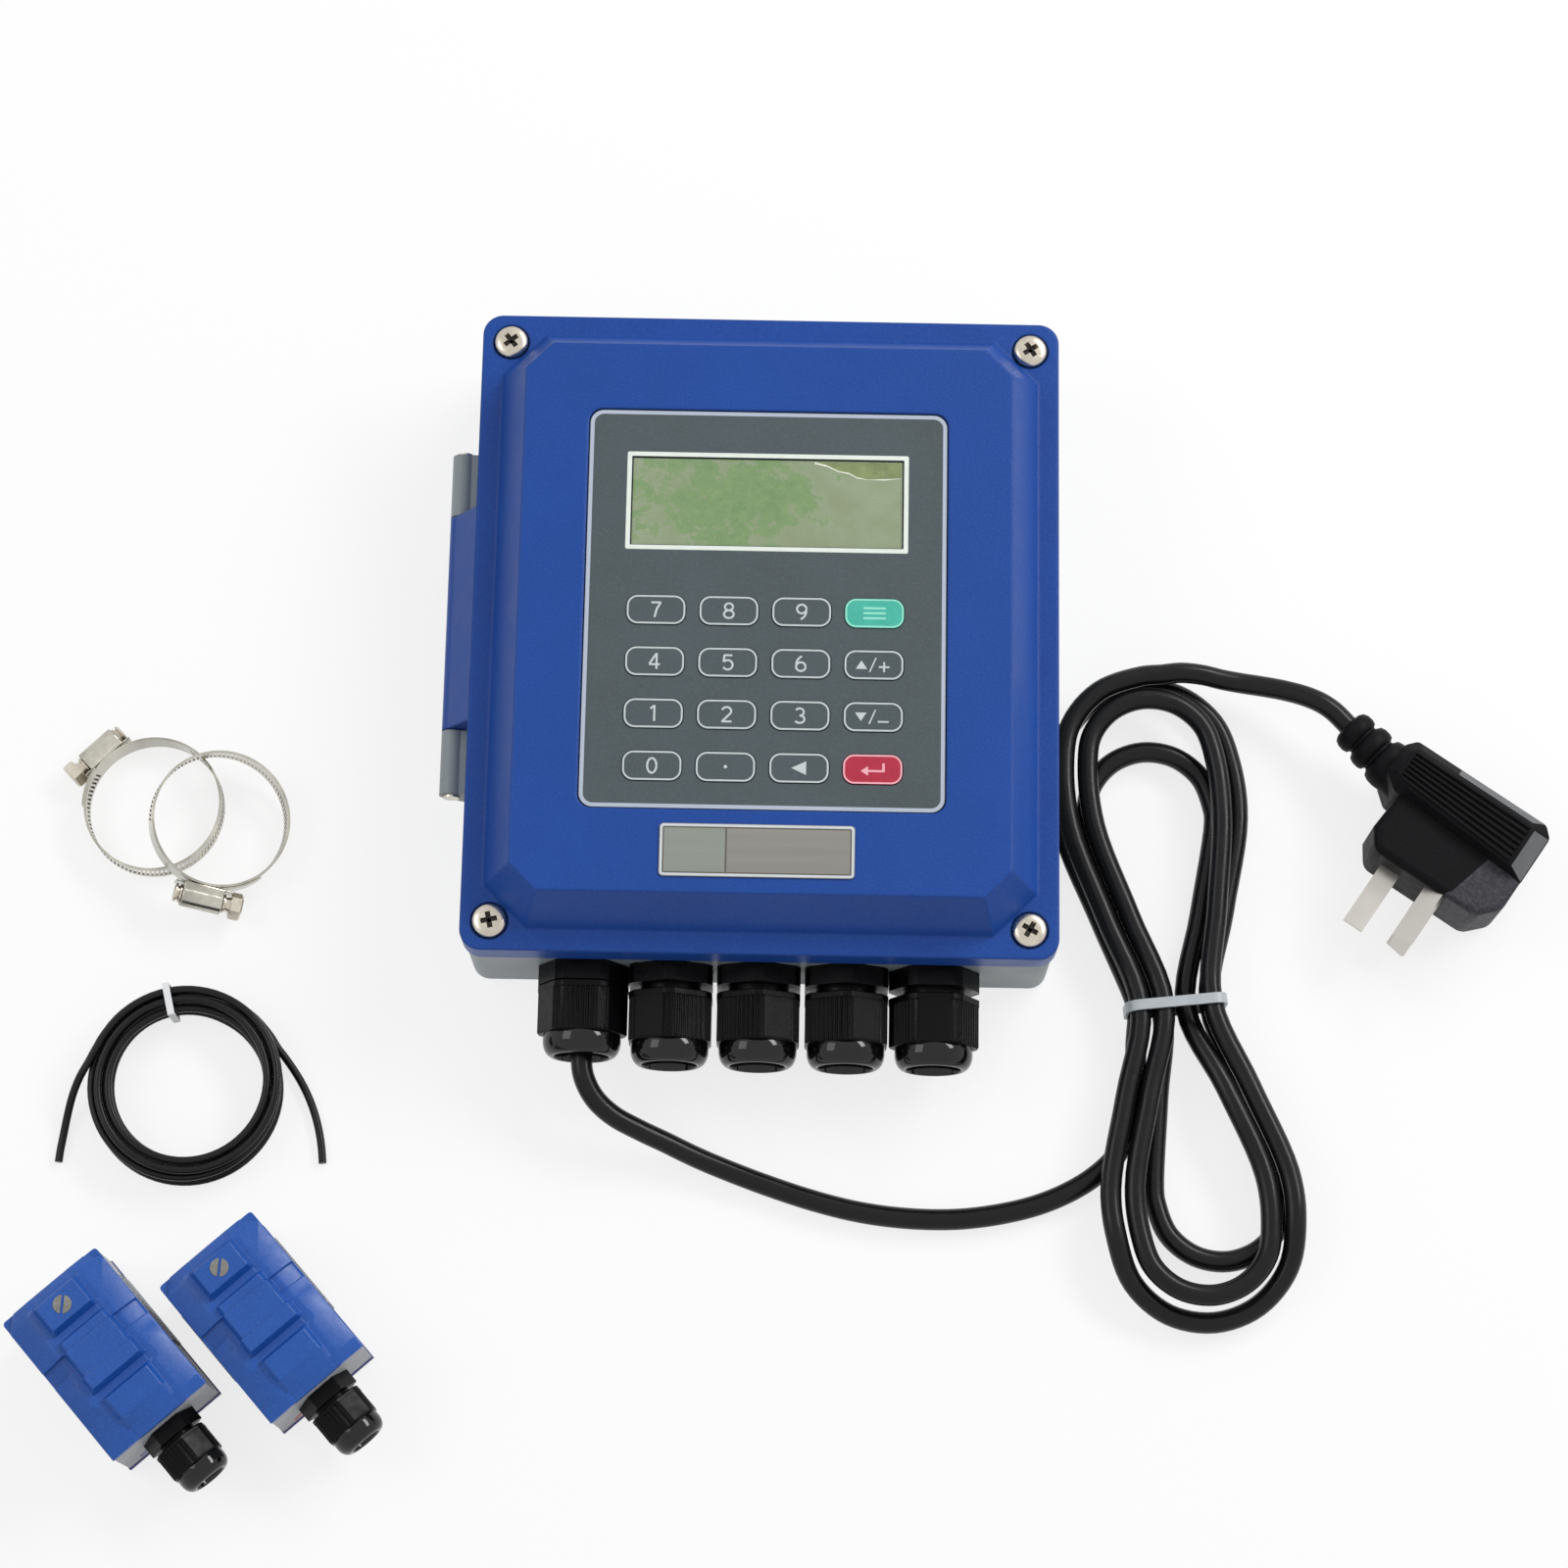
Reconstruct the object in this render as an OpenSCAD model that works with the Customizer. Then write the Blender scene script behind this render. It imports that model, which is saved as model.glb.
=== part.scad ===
// Clamp-on ultrasonic flow meter: a wall-mounted transmitter with a hinged
// front cover, its mains lead, two clamp-on transducers, their signal cable
// and two band clamps. The meter lies on its back on the plane z = 0.
// The origin is the centre of the mounting holes in the case's back.

/* [Cover] */
// Width of the front cover
cover_w = 170; // [165:1:190]
// Height of the front cover
cover_h = 192; // [188:1:215]
// Radius of the cover's outer corners
cover_corner_r = 6; // [4:0.5:8]
// Thickness of the cover's flat rim
rim_t = 10; // [9:0.5:12]
// Height of the raised front above the rim
front_h = 15; // [14:0.5:18]
// Flat margin between the rim's edge and the raised front
front_margin = 6.2; // [5.8:0.1:7]
// Run of the raised front's sloping sides
slope_run = 8; // [6:0.5:9]
// Length cut off each corner of the raised front
corner_cut = 12.5; // [12:0.5:15]
// Wall of the cover
cover_wall = 3.5; // [3:0.1:4]

/* [Case] */
// Depth of the rear case
case_depth = 33; // [32:1:45]
// How far the case stays inside the cover's outline
case_inset = 0.8; // [0.5:0.1:1.5]
// Wall of the rear case
case_wall = 3.2; // [2.8:0.1:4]
// Thickness of the case's back
case_floor = 3; // [2.5:0.1:4]
// Radius of the case's corner pillars
pillar_r = 6.2; // [6:0.1:7]
// Radius of the four mounting holes in the back
mount_hole_r = 2.1; // [1.6:0.1:2.6]
// Depth of the four mounting holes
mount_hole_depth = 12; // [8:0.5:14]

/* [Hinge] */
// Distance from the cover's edge to the hinge axis
hinge_offset = 5; // [4.8:0.1:6]
// Depth of the hinge axis below the joint of case and cover
hinge_drop = 3; // [2.5:0.1:3.5]
// Outer radius of the hinge knuckles
knuckle_r = 3.5; // [3:0.1:3.6]
// Radius of the hinge pin
pin_r = 1.5; // [1.2:0.1:1.8]
// Length of the cover's middle knuckle
barrel_len = 65; // [50:1:70]
// Length of each case knuckle
lug_len = 19; // [14:1:22]
// Height of the hinge's middle above the meter's middle
hinge_y = 4; // [0:1:8]

/* [Cover screws] */
// Distance of the screws from the cover's edges
screw_inset = 8.4; // [8.2:0.1:9]
// Radius of the screw shanks
screw_r = 2.5; // [2:0.1:2.6]
// Radius of the pan heads
screw_head_r = 5; // [4.5:0.1:5.2]
// Height of the pan heads
screw_head_h = 3.3; // [2.8:0.1:4]
// Length of thread held in the case
screw_grip = 6; // [4:0.5:6]

/* [Keypad] */
// Width of the front panel
panel_w = 103.4; // [98:0.1:112]
// Height of the front panel
panel_h = 119; // [116:0.5:126]
// Height of the panel's middle above the meter's middle
panel_y = 2; // [1:0.5:4]
// Thickness of the panel sheet
panel_t = 1.3; // [1.2:0.1:1.4]
// Depth of the recess that holds the panel
panel_recess = 1.8; // [1.7:0.1:2]
// Width of a key
key_w = 16.8; // [14:0.1:17.5]
// Height of a key
key_h = 8.6; // [7:0.1:10]
// Radius of a key's corners
key_r = 3.2; // [2:0.1:3.4]
// Key spacing across
key_pitch_x = 20.8; // [19:0.1:22]
// Distance from the lowest keys to the panel's bottom edge
key_bottom = 8; // [7:0.1:14]
// Travel of a key
key_travel = 0.4; // [0.2:0.05:0.4]

/* [Display] */
// Width of the display glass
lcd_w = 77.8; // [70:0.1:80]
// Height of the display glass
lcd_h = 26.2; // [22:0.1:27]
// Distance from the panel's top edge to the display glass
lcd_top = 14.4; // [12:0.1:15]

/* [Cable glands] */
// Clear space between the flats of neighbouring glands
gland_space = 1.3; // [0.9:0.1:3]
// Height of the gland axes above the middle of the case's side
gland_rise = 1.5; // [0:0.1:1.8]
// Width across flats of the gland hexagons
gland_af = 24; // [22:0.1:24.2]
// How much wider the gland is across its rounded corners
gland_corner_out = 2.2; // [1:0.1:2.3]
// Wall of the lock nuts at their flats
locknut_wall = 1.8; // [1.5:0.1:3]
// Thickness of the gland's flange
gland_flange_t = 5.7; // [4:0.1:8]
// Length of the fluted part of a gland nut
gland_flute_len = 14.5; // [12:0.5:18]
// Length of the domed end of a gland nut
gland_dome_len = 6.2; // [5:0.1:8]
// Radius of a spare gland seal's bore
seal_bore_r = 4; // [3:0.1:5]
// How far the spare gland nuts are backed off
spare_gap = 2; // [0.5:0.1:3]

/* [Mains lead] */
// Diameter of the mains lead
cord_d = 6.2; // [5.5:0.1:6.2]
// Spacing of the strands in the hank
strand_step = 7; // [7:0.1:7.2]
// Radius of the inner folds of the hank
fold_r = 18.8; // [18.6:0.1:19.5]

/* [Transducers] */
// Length of a transducer
sensor_l = 50; // [46:1:56]
// Width of a transducer
sensor_w = 33; // [30:0.5:36]
// Height of the transducer's grey body
sensor_body_h = 27; // [24:0.5:32]
// Thickness of the transducer's contact plate
sensor_base_t = 2; // [1.5:0.1:3]

/* [Signal cable] */
// Diameter of the signal cable
signal_d = 2.3; // [2:0.1:2.3]
// Outer radius of the coil at the middle of its turns
coil_r = 27.6; // [26:0.1:30]
// Spacing of the turns
coil_step = 2.8; // [2.8:0.05:3]

/* [Band clamps] */
// Inner radius of a closed clamp
clamp_r = 19.6; // [18.5:0.1:19.6]
// Width of the clamp band
band_w = 8; // [7:0.1:8]
// Thickness of the clamp band
band_t = 0.7; // [0.5:0.1:0.8]

/* [Hidden] */
NODES = [
    "rear_case", "case_gasket", "hinge_pin", "main_board", "board_screws",
    "board_components", "terminal_strip", "gland_bodies", "gland_nuts",
    "gland_seals", "gland_locknuts", "mains_wires", "mains_lead",
    "mains_hank", "mains_tail", "hank_tie", "plug_body", "plug_pins",
    "front_cover", "cover_screws", "keypad_overlay", "lcd_glass",
    "lcd_bezel", "display_board", "display_board_screws", "label_plate",
    "ribbon_cable",
    "key_7", "key_8", "key_9", "key_menu", "key_4", "key_5", "key_6",
    "key_up", "key_1", "key_2", "key_3", "key_down", "key_0", "key_point",
    "key_left", "key_enter",
    "transducer_body_a", "transducer_body_b", "transducer_cover_a",
    "transducer_cover_b", "transducer_base_a", "transducer_base_b",
    "transducer_gland_bodies", "transducer_gland_nuts",
    "transducer_screws", "clamp_bands", "clamp_housings",
    "clamp_screw_1", "clamp_screw_2", "signal_coil",
    "signal_cable_ends", "signal_tie"
];
$fn = 64;

// Overrun that lets a cut pass clean through a face
over = 0.5;
// Depth by which joined shapes sink into each other
sink = 0.6;
// Clearance between parts that are laid in or beside each other
gap = 0.3;
// Clearance of a pin that turns in its bore
run_gap = 0.05;

// Levels
joint_z = case_depth;
rim_z = joint_z + rim_t;
front_z = rim_z + front_h;
case_w = cover_w - 2 * case_inset;
case_h = cover_h - 2 * case_inset;
case_corner_r = cover_corner_r - case_inset;
screw_x = cover_w / 2 - screw_inset;
screw_y = cover_h / 2 - screw_inset;

// Raised front: its wall measured level, and its inner shell
front_x = cover_w / 2 - front_margin;
front_y = cover_h / 2 - front_margin;
wall_run = cover_wall * norm([front_h, slope_run]) / front_h;
inner_z = front_z - cover_wall;
inner_x = front_x - wall_run;
inner_y = front_y - wall_run;
inner_run = slope_run * (inner_z - rim_z) / front_h;

// Hinge
hinge_x = -cover_w / 2 - hinge_offset;
hinge_z = joint_z - hinge_drop;
barrel_y0 = hinge_y - barrel_len / 2;
barrel_y1 = hinge_y + barrel_len / 2;
lug_web_drop = 9;
pin_head_r = 2.4;
pin_head_t = 0.8;

// Cover screws
screw_sink_r = screw_head_r + 0.4;
screw_sink_depth = 1.5;
screw_bore_r = screw_r + 0.7;
screw_bore_depth = screw_grip + 2;
cross_w = 1.3;
cross_len = 5;
cross_depth = 1.8;

// Gasket in a groove of the cover, over the case's wall
gasket_w = 2;
gasket_h = 1.6;
gasket_in = case_inset + (case_wall - gasket_w) / 2;
groove_gap = 0.1;

// Front panel
panel_r = 4;
panel_z = front_z - panel_recess;
panel_edge_gap = 0.3;
key_gap = 0.25;
key_lift = key_travel + 0.15;
key_t = 1.05;
key_drop = 1;
key_row_y = panel_y - key_drop;
key_cols = 4;
key_names = [for (i = [27:42]) NODES[i]];
key_rows = ceil(len(key_names) / key_cols);
key_pitch_y = (panel_h / 2 - key_drop - key_h / 2 - key_bottom) / (key_rows - 1);

// Display
lcd_y = panel_h / 2 - lcd_top - lcd_h / 2;
lcd_z = panel_z + 0.7;
lcd_gap = 0.3;
lcd_frame_side = 7.6;
lcd_frame_end = 6.9;
lcd_frame_w = lcd_w + 2 * lcd_frame_side;
lcd_frame_h = lcd_h + 2 * lcd_frame_end;
display_board_grow = 8.6;
display_board_cut = 7;
display_board_w = panel_w + display_board_grow;
display_board_h = panel_h - display_board_cut;
board_t = 1.6;
display_room = 7.5;
display_board_z = inner_z - display_room;
display_post_in = 5;
display_post_x = display_board_w / 2 - display_post_in;
display_post_y = display_board_h / 2 - display_post_in;
post_r = 3.2;
small_screw_r = 1.4;
small_head_r = 2.7;
small_head_h = 2;
small_thread = 4;

// Label plate
plate_w = 55;
plate_h = 15.3;
plate_t = 0.5;
plate_r = 1.2;
plate_x = -1;
plate_y = (panel_y - panel_h / 2 - front_y + slope_run) / 2;

// Main board and what it carries
board_side_gap = 12;
board_top_gap = 15;
board_low_gap = 25;
main_board_w = case_w - 2 * (case_wall + board_side_gap);
main_board_h = case_h - 2 * case_wall - board_top_gap - board_low_gap;
main_board_y = (board_low_gap - board_top_gap) / 2;
post_h = 5.4;
main_board_z = case_floor + post_h;
main_board_top = main_board_z + board_t;
main_post_in = 6;
main_post_x = main_board_w / 2 - main_post_in;
main_post_y = main_board_h / 2 - main_post_in;
strip_pitch = 8;
strip_side = 20;
strip_poles = floor((main_board_w - 2 * strip_side) / strip_pitch);
strip_w = strip_poles * strip_pitch;
strip_d = 12;
strip_h = 14;
strip_inset = 2;
strip_y = main_board_y - main_board_h / 2 + strip_d / 2 + strip_inset;
strip_hole_r = 1.7;
strip_hole_z = 5;
strip_screw_r = 2;
strip_screw_depth = 1.2;
module_size = [46, 32, 17];
relay_size = [19, 10, 13];
chip_size = [16, 16, 1.6];
capacitor_r = 6;
capacitor_h = 18;
header_size = [9, 34, 9];
header_in = 17;
header_rise = 19;
header_pos = [header_in - main_board_w / 2, main_board_y + header_rise];
display_header_size = [9, 34, 5];
display_header_in = 4;
display_header_x = display_header_in - display_board_w / 2;

// Places on the main board, as shares of its width and height
module_shares = [[0.275, 0.285]];
relay_shares = [[0.348, -0.16], [0.348, -0.27]];
chip_shares = [[-0.1, 0.2], [0.058, -0.076], [-0.188, -0.174]];
capacitor_shares = [[-0.03, 0.36], [-0.15, 0.39]];

// Flat cable between the two boards, at the hinge side
ribbon_w = 30;
ribbon_t = 1;
ribbon_side_gap = 13;
ribbon_rise = 4;
ribbon_drop = 5;
ribbon_x = ribbon_side_gap + case_wall - case_w / 2;
ribbon_low_z = main_board_top + header_size.z + ribbon_rise;
ribbon_high_z = display_board_z - display_header_size.z - ribbon_drop;

// Glands
gland_pitch = gland_af + gland_space;
gland_corner_d = gland_af + gland_corner_out;
gland_z = case_depth / 2 + gland_rise;
gland_row = 2 * (screw_x - pillar_r) - gland_corner_d;
gland_count = 1 + floor(gland_row / gland_pitch);
wall_y = -case_h / 2;
gland_flange_y = wall_y - gland_flange_t;
gland_thread_r = gland_af / 2 - locknut_wall;
gland_thread_out = 5.2;
gland_neck_in = 3.2;
gland_neck_r = gland_af / 2 - gland_neck_in;
gland_neck_wall = 1.2;
gland_neck_short = 1.5;
gland_neck_len = gland_flute_len - gland_neck_short;
seal_step = 1.2;
seal_r = gland_neck_r - gland_neck_wall;
gland_bore_r = seal_r - seal_step;
seal_in = 4;
seal_out = 2;
seal_len = gland_neck_len - seal_in + seal_out;
nut_play = 0.4;
nut_bore_r = gland_neck_r + nut_play;
mouth_play = 0.2;
nut_mouth_r = seal_r + mouth_play;
nut_lip_w = 0.6;
nut_lip_r = nut_mouth_r + nut_lip_w;
nut_lip_t = 1.4;
dome_share = 0.94;
locknut_t = 5;
dome_steps = 6;
hole_gap = 0.15;
gland_xs = [for (i = [0:gland_count - 1]) (i - (gland_count - 1) / 2) * gland_pitch];
seal_face_y = gland_flange_y - seal_in - seal_len;

// Mains lead, where it is clamped and where its three wires go
cord_r = cord_d / 2;
cord_sides = 10;
wires_len = 12;
sheath_end_y = strip_y - strip_d / 2 - wires_len;
wire_r = 1.1;
wire_sides = 8;

// Route of the lead from the gland's seal to the hank
lead_route = [
    [-50.6, -115.9, 18], [-50.6, -121, 18], [-49.8, -127, 17.6],
    [-46.6, -133, 16], [-41.2, -137.6, 13.6], [-34, -141, 10.8],
    [-26, -144.2, 8], [-17.5, -147.8, 5.6], [-8, -151.4, 4],
    [4, -155.6, 3.3], [17, -159.6, 3.1], [30, -162.6, 3.1],
    [44, -164.2, 3.1], [58, -164.2, 3.1], [70, -162.6, 3.1],
    [81, -159.8, 3.1], [90.4, -155.8, 3.1], [98, -151, 3.2],
    [104, -145.2, 3.4], [107.6, -138.1, 3.6], [109.4, -130.1, 3.9],
    [110, -121.6, 4.1]
];

// Hank: two layers of loops drawn in at the waist by a tie
waist = [121.3, -101.3];
hank_tilt = 6.5;
tie_t = 1;
tie_w = 3;
tie_gap = 0.3;
layer_h = 6.8;
hank_z = tie_t + cord_r;
half_steps = 12;
arc_steps = 6;
run_steps = 3;
hank_sides = 6;
upper_lean = 1.5;
upper_fan = 1.5;
lower_lean = 0.5;
first_lean = 6.5;
upper_reach = 99.5;
lower_reach = 92;
first_reach = 75;
inner_reach = 78;
upper_spread = 55;
lower_spread = 52;
measure_steps = 4;
big_fold_r = fold_r + strand_step;
hank_start_lean = 0.6;
hank_start_back = cord_d / 2;

// Each half loop: start and end column at the waist in steps, way, fold
// radius, sideways lean, reach, start and end layer, dip at the far end
half_loops = [
    [-1.5, 1.5, 1, big_fold_r, upper_lean - upper_fan, upper_reach - upper_fan, 0, 0, 0],
    [1.5, -0.5, -1, fold_r, first_lean, first_reach, 0, 0, 0],
    [-0.5, 0.5, 1, fold_r, upper_lean - upper_fan, inner_reach, 0, 0, 0],
    [0.5, -0.5, -1, fold_r, lower_lean, lower_reach - strand_step, 0, 1, 0],
    [-0.5, 1.5, 1, fold_r, upper_lean, upper_reach - strand_step, 1, 1, 0],
    [1.5, -1.5, -1, big_fold_r, lower_lean, lower_reach, 1, 1, 1],
    [-1.5, 1.5, 1, big_fold_r, upper_lean, upper_reach, 1, 1, 0]
];

// Route of the lead from the hank's top to the plug
tail_route = [
    [130, -1.3, 10.5], [136, -2.5, 9.9], [142, -3.5, 9.8],
    [148, -4.6, 10.6], [154, -6.1, 12], [160, -8.2, 13.6],
    [164.6, -10.5, 14.6]
];

// Plug: plan points run along the cable's way and along the pins' way
plug_pos = [184, -30.4];
plug_turn = -34;
plug_t = 30;
plug_z = plug_t / 2;
plug_face = 26;
plug_back = 8.6;
plug_len = 50;
plug_chamfer = 5;
plug_grip_t = 22;
plug_neck = 7;
grip_front = 8;
boot_turn = -12;
boot_len = 17;
boot_r0 = 4.6;
boot_r1 = 6.2;
boot_rings = 3;
boot_ring_t = 3.4;
boot_ring_h = 0.9;
boot_pos = 3;
boot_way = plug_turn + boot_turn;
boot_dir = [cos(boot_way), sin(boot_way), 0];
boot_start = [plug_pos.x, plug_pos.y, plug_z]
    + boot_pos * [cos(plug_turn), sin(plug_turn), 0] - (boot_len + boot_pos) * boot_dir;
plug_step = 2;
grip_chamfer = 3;
blade_w = 6.4;
blade_t = 1.6;
blade_len = 17;
earth_len = 20;
blade_turn = 30;
blade_in = 6;
blade_gap = 13.7;
earth_c = 17;
live_c = 31;

// Transducers
sensor_turn = -48;
sensor_pos = [[-180, -210], [-137, -199]];
sensor_play = 0.3;
sensor_cover_t = 2.8;
sensor_tier_h = 2.4;
sensor_step_h = 1.8;
sensor_bevel = 2.4;
sensor_rib_side = 7;
sensor_rib_w = sensor_w - 2 * sensor_rib_side;
sensor_rib_bevel = 1.6;
pad_end_gap = 13;
pad_edge_gap = 5.5;
pad_l = sensor_l - 2 * pad_end_gap;
pad_h = sensor_body_h - 2 * pad_edge_gap;
pad_t = 0.5;
pad_x = -4;
sensor_gland_drop = 0.5;
sensor_gland_z = sensor_base_t + sensor_body_h / 2 - sensor_gland_drop;
sensor_nut_af = 16;
sensor_af_cut = 1;
sensor_gland_af = sensor_nut_af - sensor_af_cut;
sensor_corner_out = 1.4;
sensor_nut_d = sensor_nut_af + sensor_corner_out;
sensor_flange_t = 4.4;
sensor_thread_in = 2;
sensor_thread_r = sensor_nut_af / 2 - sensor_thread_in;
sensor_thread_len = 7;
sensor_neck_in = 2.4;
sensor_neck_r = sensor_nut_af / 2 - sensor_neck_in;
sensor_neck_short = 0.6;
sensor_nut_gap = 1.2;
sensor_flute_len = 8.6;
sensor_neck_len = sensor_flute_len - sensor_neck_short;
sensor_dome_len = 5;
sensor_bore_in = 3;
sensor_bore_r = sensor_neck_r - sensor_bore_in;
sensor_mouth_out = 1.8;
sensor_mouth_r = sensor_bore_r + sensor_mouth_out;
sensor_lip_r = sensor_mouth_r + nut_lip_w;

// Ridges of the cover, from and to in shares of its length, and extra height
sensor_rib_shares = [[-0.44, -0.23], [-0.18, 0.13], [0.19, 0.4]];
sensor_rib_high = 0.8;
cap_screw_share = -0.34;
cap_screw_x = cap_screw_share * sensor_l;
cap_screw_r = 1.5;
cap_head_r = 2.6;
cap_head_t = 1.6;
cap_depth = 5;
slot_w = 0.8;
slot_depth = 0.7;

// Signal cable: coil of four layers with two free ends
coil_pos = [-165.3, -129.3];
coil_layers = 4;
coil_rings = 24;
layer_rings = 50;
coil_start = 34;
coil_lift = 0.6;
coil_layer_h = 2.8;
coil_sides = 6;
signal_r = signal_d / 2;
turns_in_layer = layer_rings / coil_rings;
coil_count = coil_layers * layer_rings;
right_end = [
    [-138.4, -119.4, 1.5], [-135.2, -123.6, 1.2], [-132, -128.6, 1.2],
    [-129.2, -134.4, 1.2], [-127.2, -140.4, 1.2], [-126, -146, 1.2],
    [-125.4, -151, 1.2]
];
left_end = [
    [-193.4, -123.6, 9.4], [-196, -128, 8], [-198.2, -133, 5.6],
    [-199.8, -138.6, 3], [-200.9, -144.4, 1.5], [-201.5, -148.4, 1.2],
    [-201.8, -152, 1.2]
];
signal_tie_turn = 104;
signal_tie_w = 2;
signal_tie_t = 0.5;
signal_tie_gap = 0.2;

// Band clamps
clamp_out_r = clamp_r + band_t;
clamp_pos = [[-180, -46], [-160.8, -51]];
clamp_lean = 165.4;
clamp_cross_gap = 0.73;
clamp_cross = norm(clamp_pos[0] - clamp_pos[1]) / 2;
clamp_tilt = asin((band_w + clamp_cross_gap) / (clamp_out_r + clamp_cross));
housing_turns = [135, 95];
housing_l = 12;
housing_w = 8.6;
housing_t = 7;
worm_r = 2.9;
worm_len = 13;
worm_head_af = 7;
worm_head_t = 4;
worm_out = 3.9;
band_tail_turn = 64;

function unit(v) = v / norm(v);
function ease(t) = (1 - cos(180 * t)) / 2;
function clamp01(t) = min(1, max(0, t));
function tangent(pts, i) =
    unit(pts[min(i + 1, len(pts) - 1)] - pts[max(i - 1, 0)]);

// One ring of a tube, square to the route
function ring(pts, i, r, n) =
    let (t = tangent(pts, i), s = unit(cross(t, [0, 0, 1])), u = cross(s, t))
    [for (k = [0:n - 1])
        let (a = 360 * (k + 1 / 2) / n) pts[i] + r * (cos(a) * s + sin(a) * u)];

// Closed tube along a list of points
module tube(pts, r, n) {
    m = len(pts);
    skin = [for (i = [0:m - 1]) each ring(pts, i, r, n)];
    sides = [for (i = [0:m - 2], k = [0:n - 1])
        let (a = i * n + k, b = i * n + (k + 1) % n)
        each [[a, b, a + n], [b, b + n, a + n]]];
    first = [for (k = [1:n - 2]) [0, k + 1, k]];
    last = [for (k = [1:n - 2]) [(m - 1) * n, (m - 1) * n + k, (m - 1) * n + k + 1]];
    polyhedron(skin, concat(sides, first, last));
}

module rounded(w, h, r) {
    square([w, h - 2 * r], center = true);
    square([w - 2 * r, h], center = true);
    for (x = [-1, 1], y = [-1, 1])
        translate([x * (w / 2 - r), y * (h / 2 - r)]) circle(r);
}

module slab(w, h, r, t) {
    linear_extrude(t) rounded(w, h, r);
}

module box(w, h, t) {
    linear_extrude(t) square([w, h], center = true);
}

// Prism along Y whose sides run in towards the top
module ridge(x, y, run, t) {
    rotate([90, 0, 0]) linear_extrude(2 * y, center = true)
        polygon([[-x, 0], [x, 0], [x - run, t], [run - x, t]]);
}

// Block with four sloping sides and four sloping corners
module bevelled(x, y, run, cut, t) {
    diagonal = (x + y - cut) / sqrt(2);
    intersection() {
        ridge(x, y, run, t);
        rotate([0, 0, 90]) ridge(y, x, run, t);
        rotate([0, 0, 45]) ridge(diagonal, x + y, run, t);
        rotate([0, 0, -45]) ridge(diagonal, x + y, run, t);
    }
}

// Upright block with its four corners cut off
module octagon_block(x, y, cut, t) {
    linear_extrude(t) polygon([
        [x, y - cut], [x - cut, y], [cut - x, y], [-x, y - cut],
        [-x, cut - y], [cut - x, -y], [x - cut, -y], [x, cut - y]
    ]);
}

module at_corners(x, y) {
    for (i = [-1, 1], j = [-1, 1]) translate([i * x, j * y, 0]) children();
}

// Hexagonal bar with rounded corners along -Y from the origin
module hex_bar(af, corner_d, t) {
    rotate([90, 0, 0]) linear_extrude(t) intersection() {
        circle(d = af / cos(30), $fn = 6);
        circle(d = corner_d);
    }
}

// Round bar along -Y from the origin
module bar(r, t) {
    rotate([90, 0, 0]) cylinder(r = r, h = t);
}

// Turns every other gland so that neighbours meet flat to corner
module at_glands() {
    for (i = [0:gland_count - 1])
        translate([gland_xs[i], 0, gland_z])
            rotate([0, i == 0 || i == gland_count - 1 ? 0 : 30, 0]) children();
}

// Case

module pillars(r, z, t) {
    reach_x = case_w / 2 - case_wall + sink - screw_x;
    reach_y = case_h / 2 - case_wall + sink - screw_y;
    for (i = [-1, 1], j = [-1, 1])
        translate([i * screw_x, j * screw_y, z]) {
            cylinder(r = r, h = t);
            linear_extrude(t) polygon([
                [0, j * -r], [i * reach_x, j * -r], [i * reach_x, j * reach_y],
                [i * -r, j * reach_y], [i * -r, 0], [0, 0]
            ]);
        }
}

module lug(y0) {
    web_x = -case_w / 2 + sink;
    translate([0, y0 + lug_len, 0]) rotate([90, 0, 0]) linear_extrude(lug_len) {
        translate([hinge_x, hinge_z]) circle(knuckle_r);
        polygon([
            [web_x, hinge_z - lug_web_drop], [web_x, joint_z - gap],
            [hinge_x + knuckle_r / 2, hinge_z + hinge_drop - gap],
            [hinge_x - knuckle_r * sqrt(1 / 2), hinge_z - knuckle_r * sqrt(1 / 2)]
        ]);
    }
}

module hinge_bore() {
    translate([hinge_x, barrel_y1 + lug_len + pin_head_t + over, hinge_z])
        bar(pin_r + run_gap, barrel_len + 2 * (lug_len + pin_head_t + over));
}

module rear_case() {
    lug_gap = gap;
    color([0.60, 0.63, 0.65]) difference() {
        union() {
            difference() {
                slab(case_w, case_h, case_corner_r, case_depth);
                translate([0, 0, case_floor])
                    slab(case_w - 2 * case_wall, case_h - 2 * case_wall,
                        case_corner_r - case_wall, case_depth);
            }
            pillars(pillar_r, case_floor - sink, case_depth - case_floor + sink);
            translate([0, main_board_y, case_floor - sink])
                at_corners(main_post_x, main_post_y) cylinder(r = post_r, h = post_h + sink);
            lug(barrel_y1 + lug_gap);
            lug(barrel_y0 - lug_gap - lug_len);
        }
        at_corners(screw_x, screw_y) {
            translate([0, 0, case_depth - screw_bore_depth])
                cylinder(r = screw_bore_r, h = screw_bore_depth + over);
            translate([0, 0, -over])
                cylinder(r = mount_hole_r, h = mount_hole_depth + over);
        }
        translate([0, main_board_y, case_floor])
            at_corners(main_post_x, main_post_y)
                translate([0, 0, post_h - small_thread])
                    cylinder(r = small_screw_r + run_gap, h = small_thread + over);
        for (x = gland_xs)
            translate([x, wall_y + case_wall + over, gland_z])
                bar(gland_thread_r + hole_gap, case_wall + 2 * over);
        hinge_bore();
    }
}

module hinge_pin() {
    span = barrel_len + 2 * (gap + lug_len);
    color([0.75, 0.75, 0.75]) translate([hinge_x, hinge_y + span / 2, hinge_z]) {
        bar(pin_r, span);
        translate([0, pin_head_t, 0]) bar(pin_head_r, pin_head_t);
        translate([0, -span, 0]) bar(pin_head_r, pin_head_t);
    }
}

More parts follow.
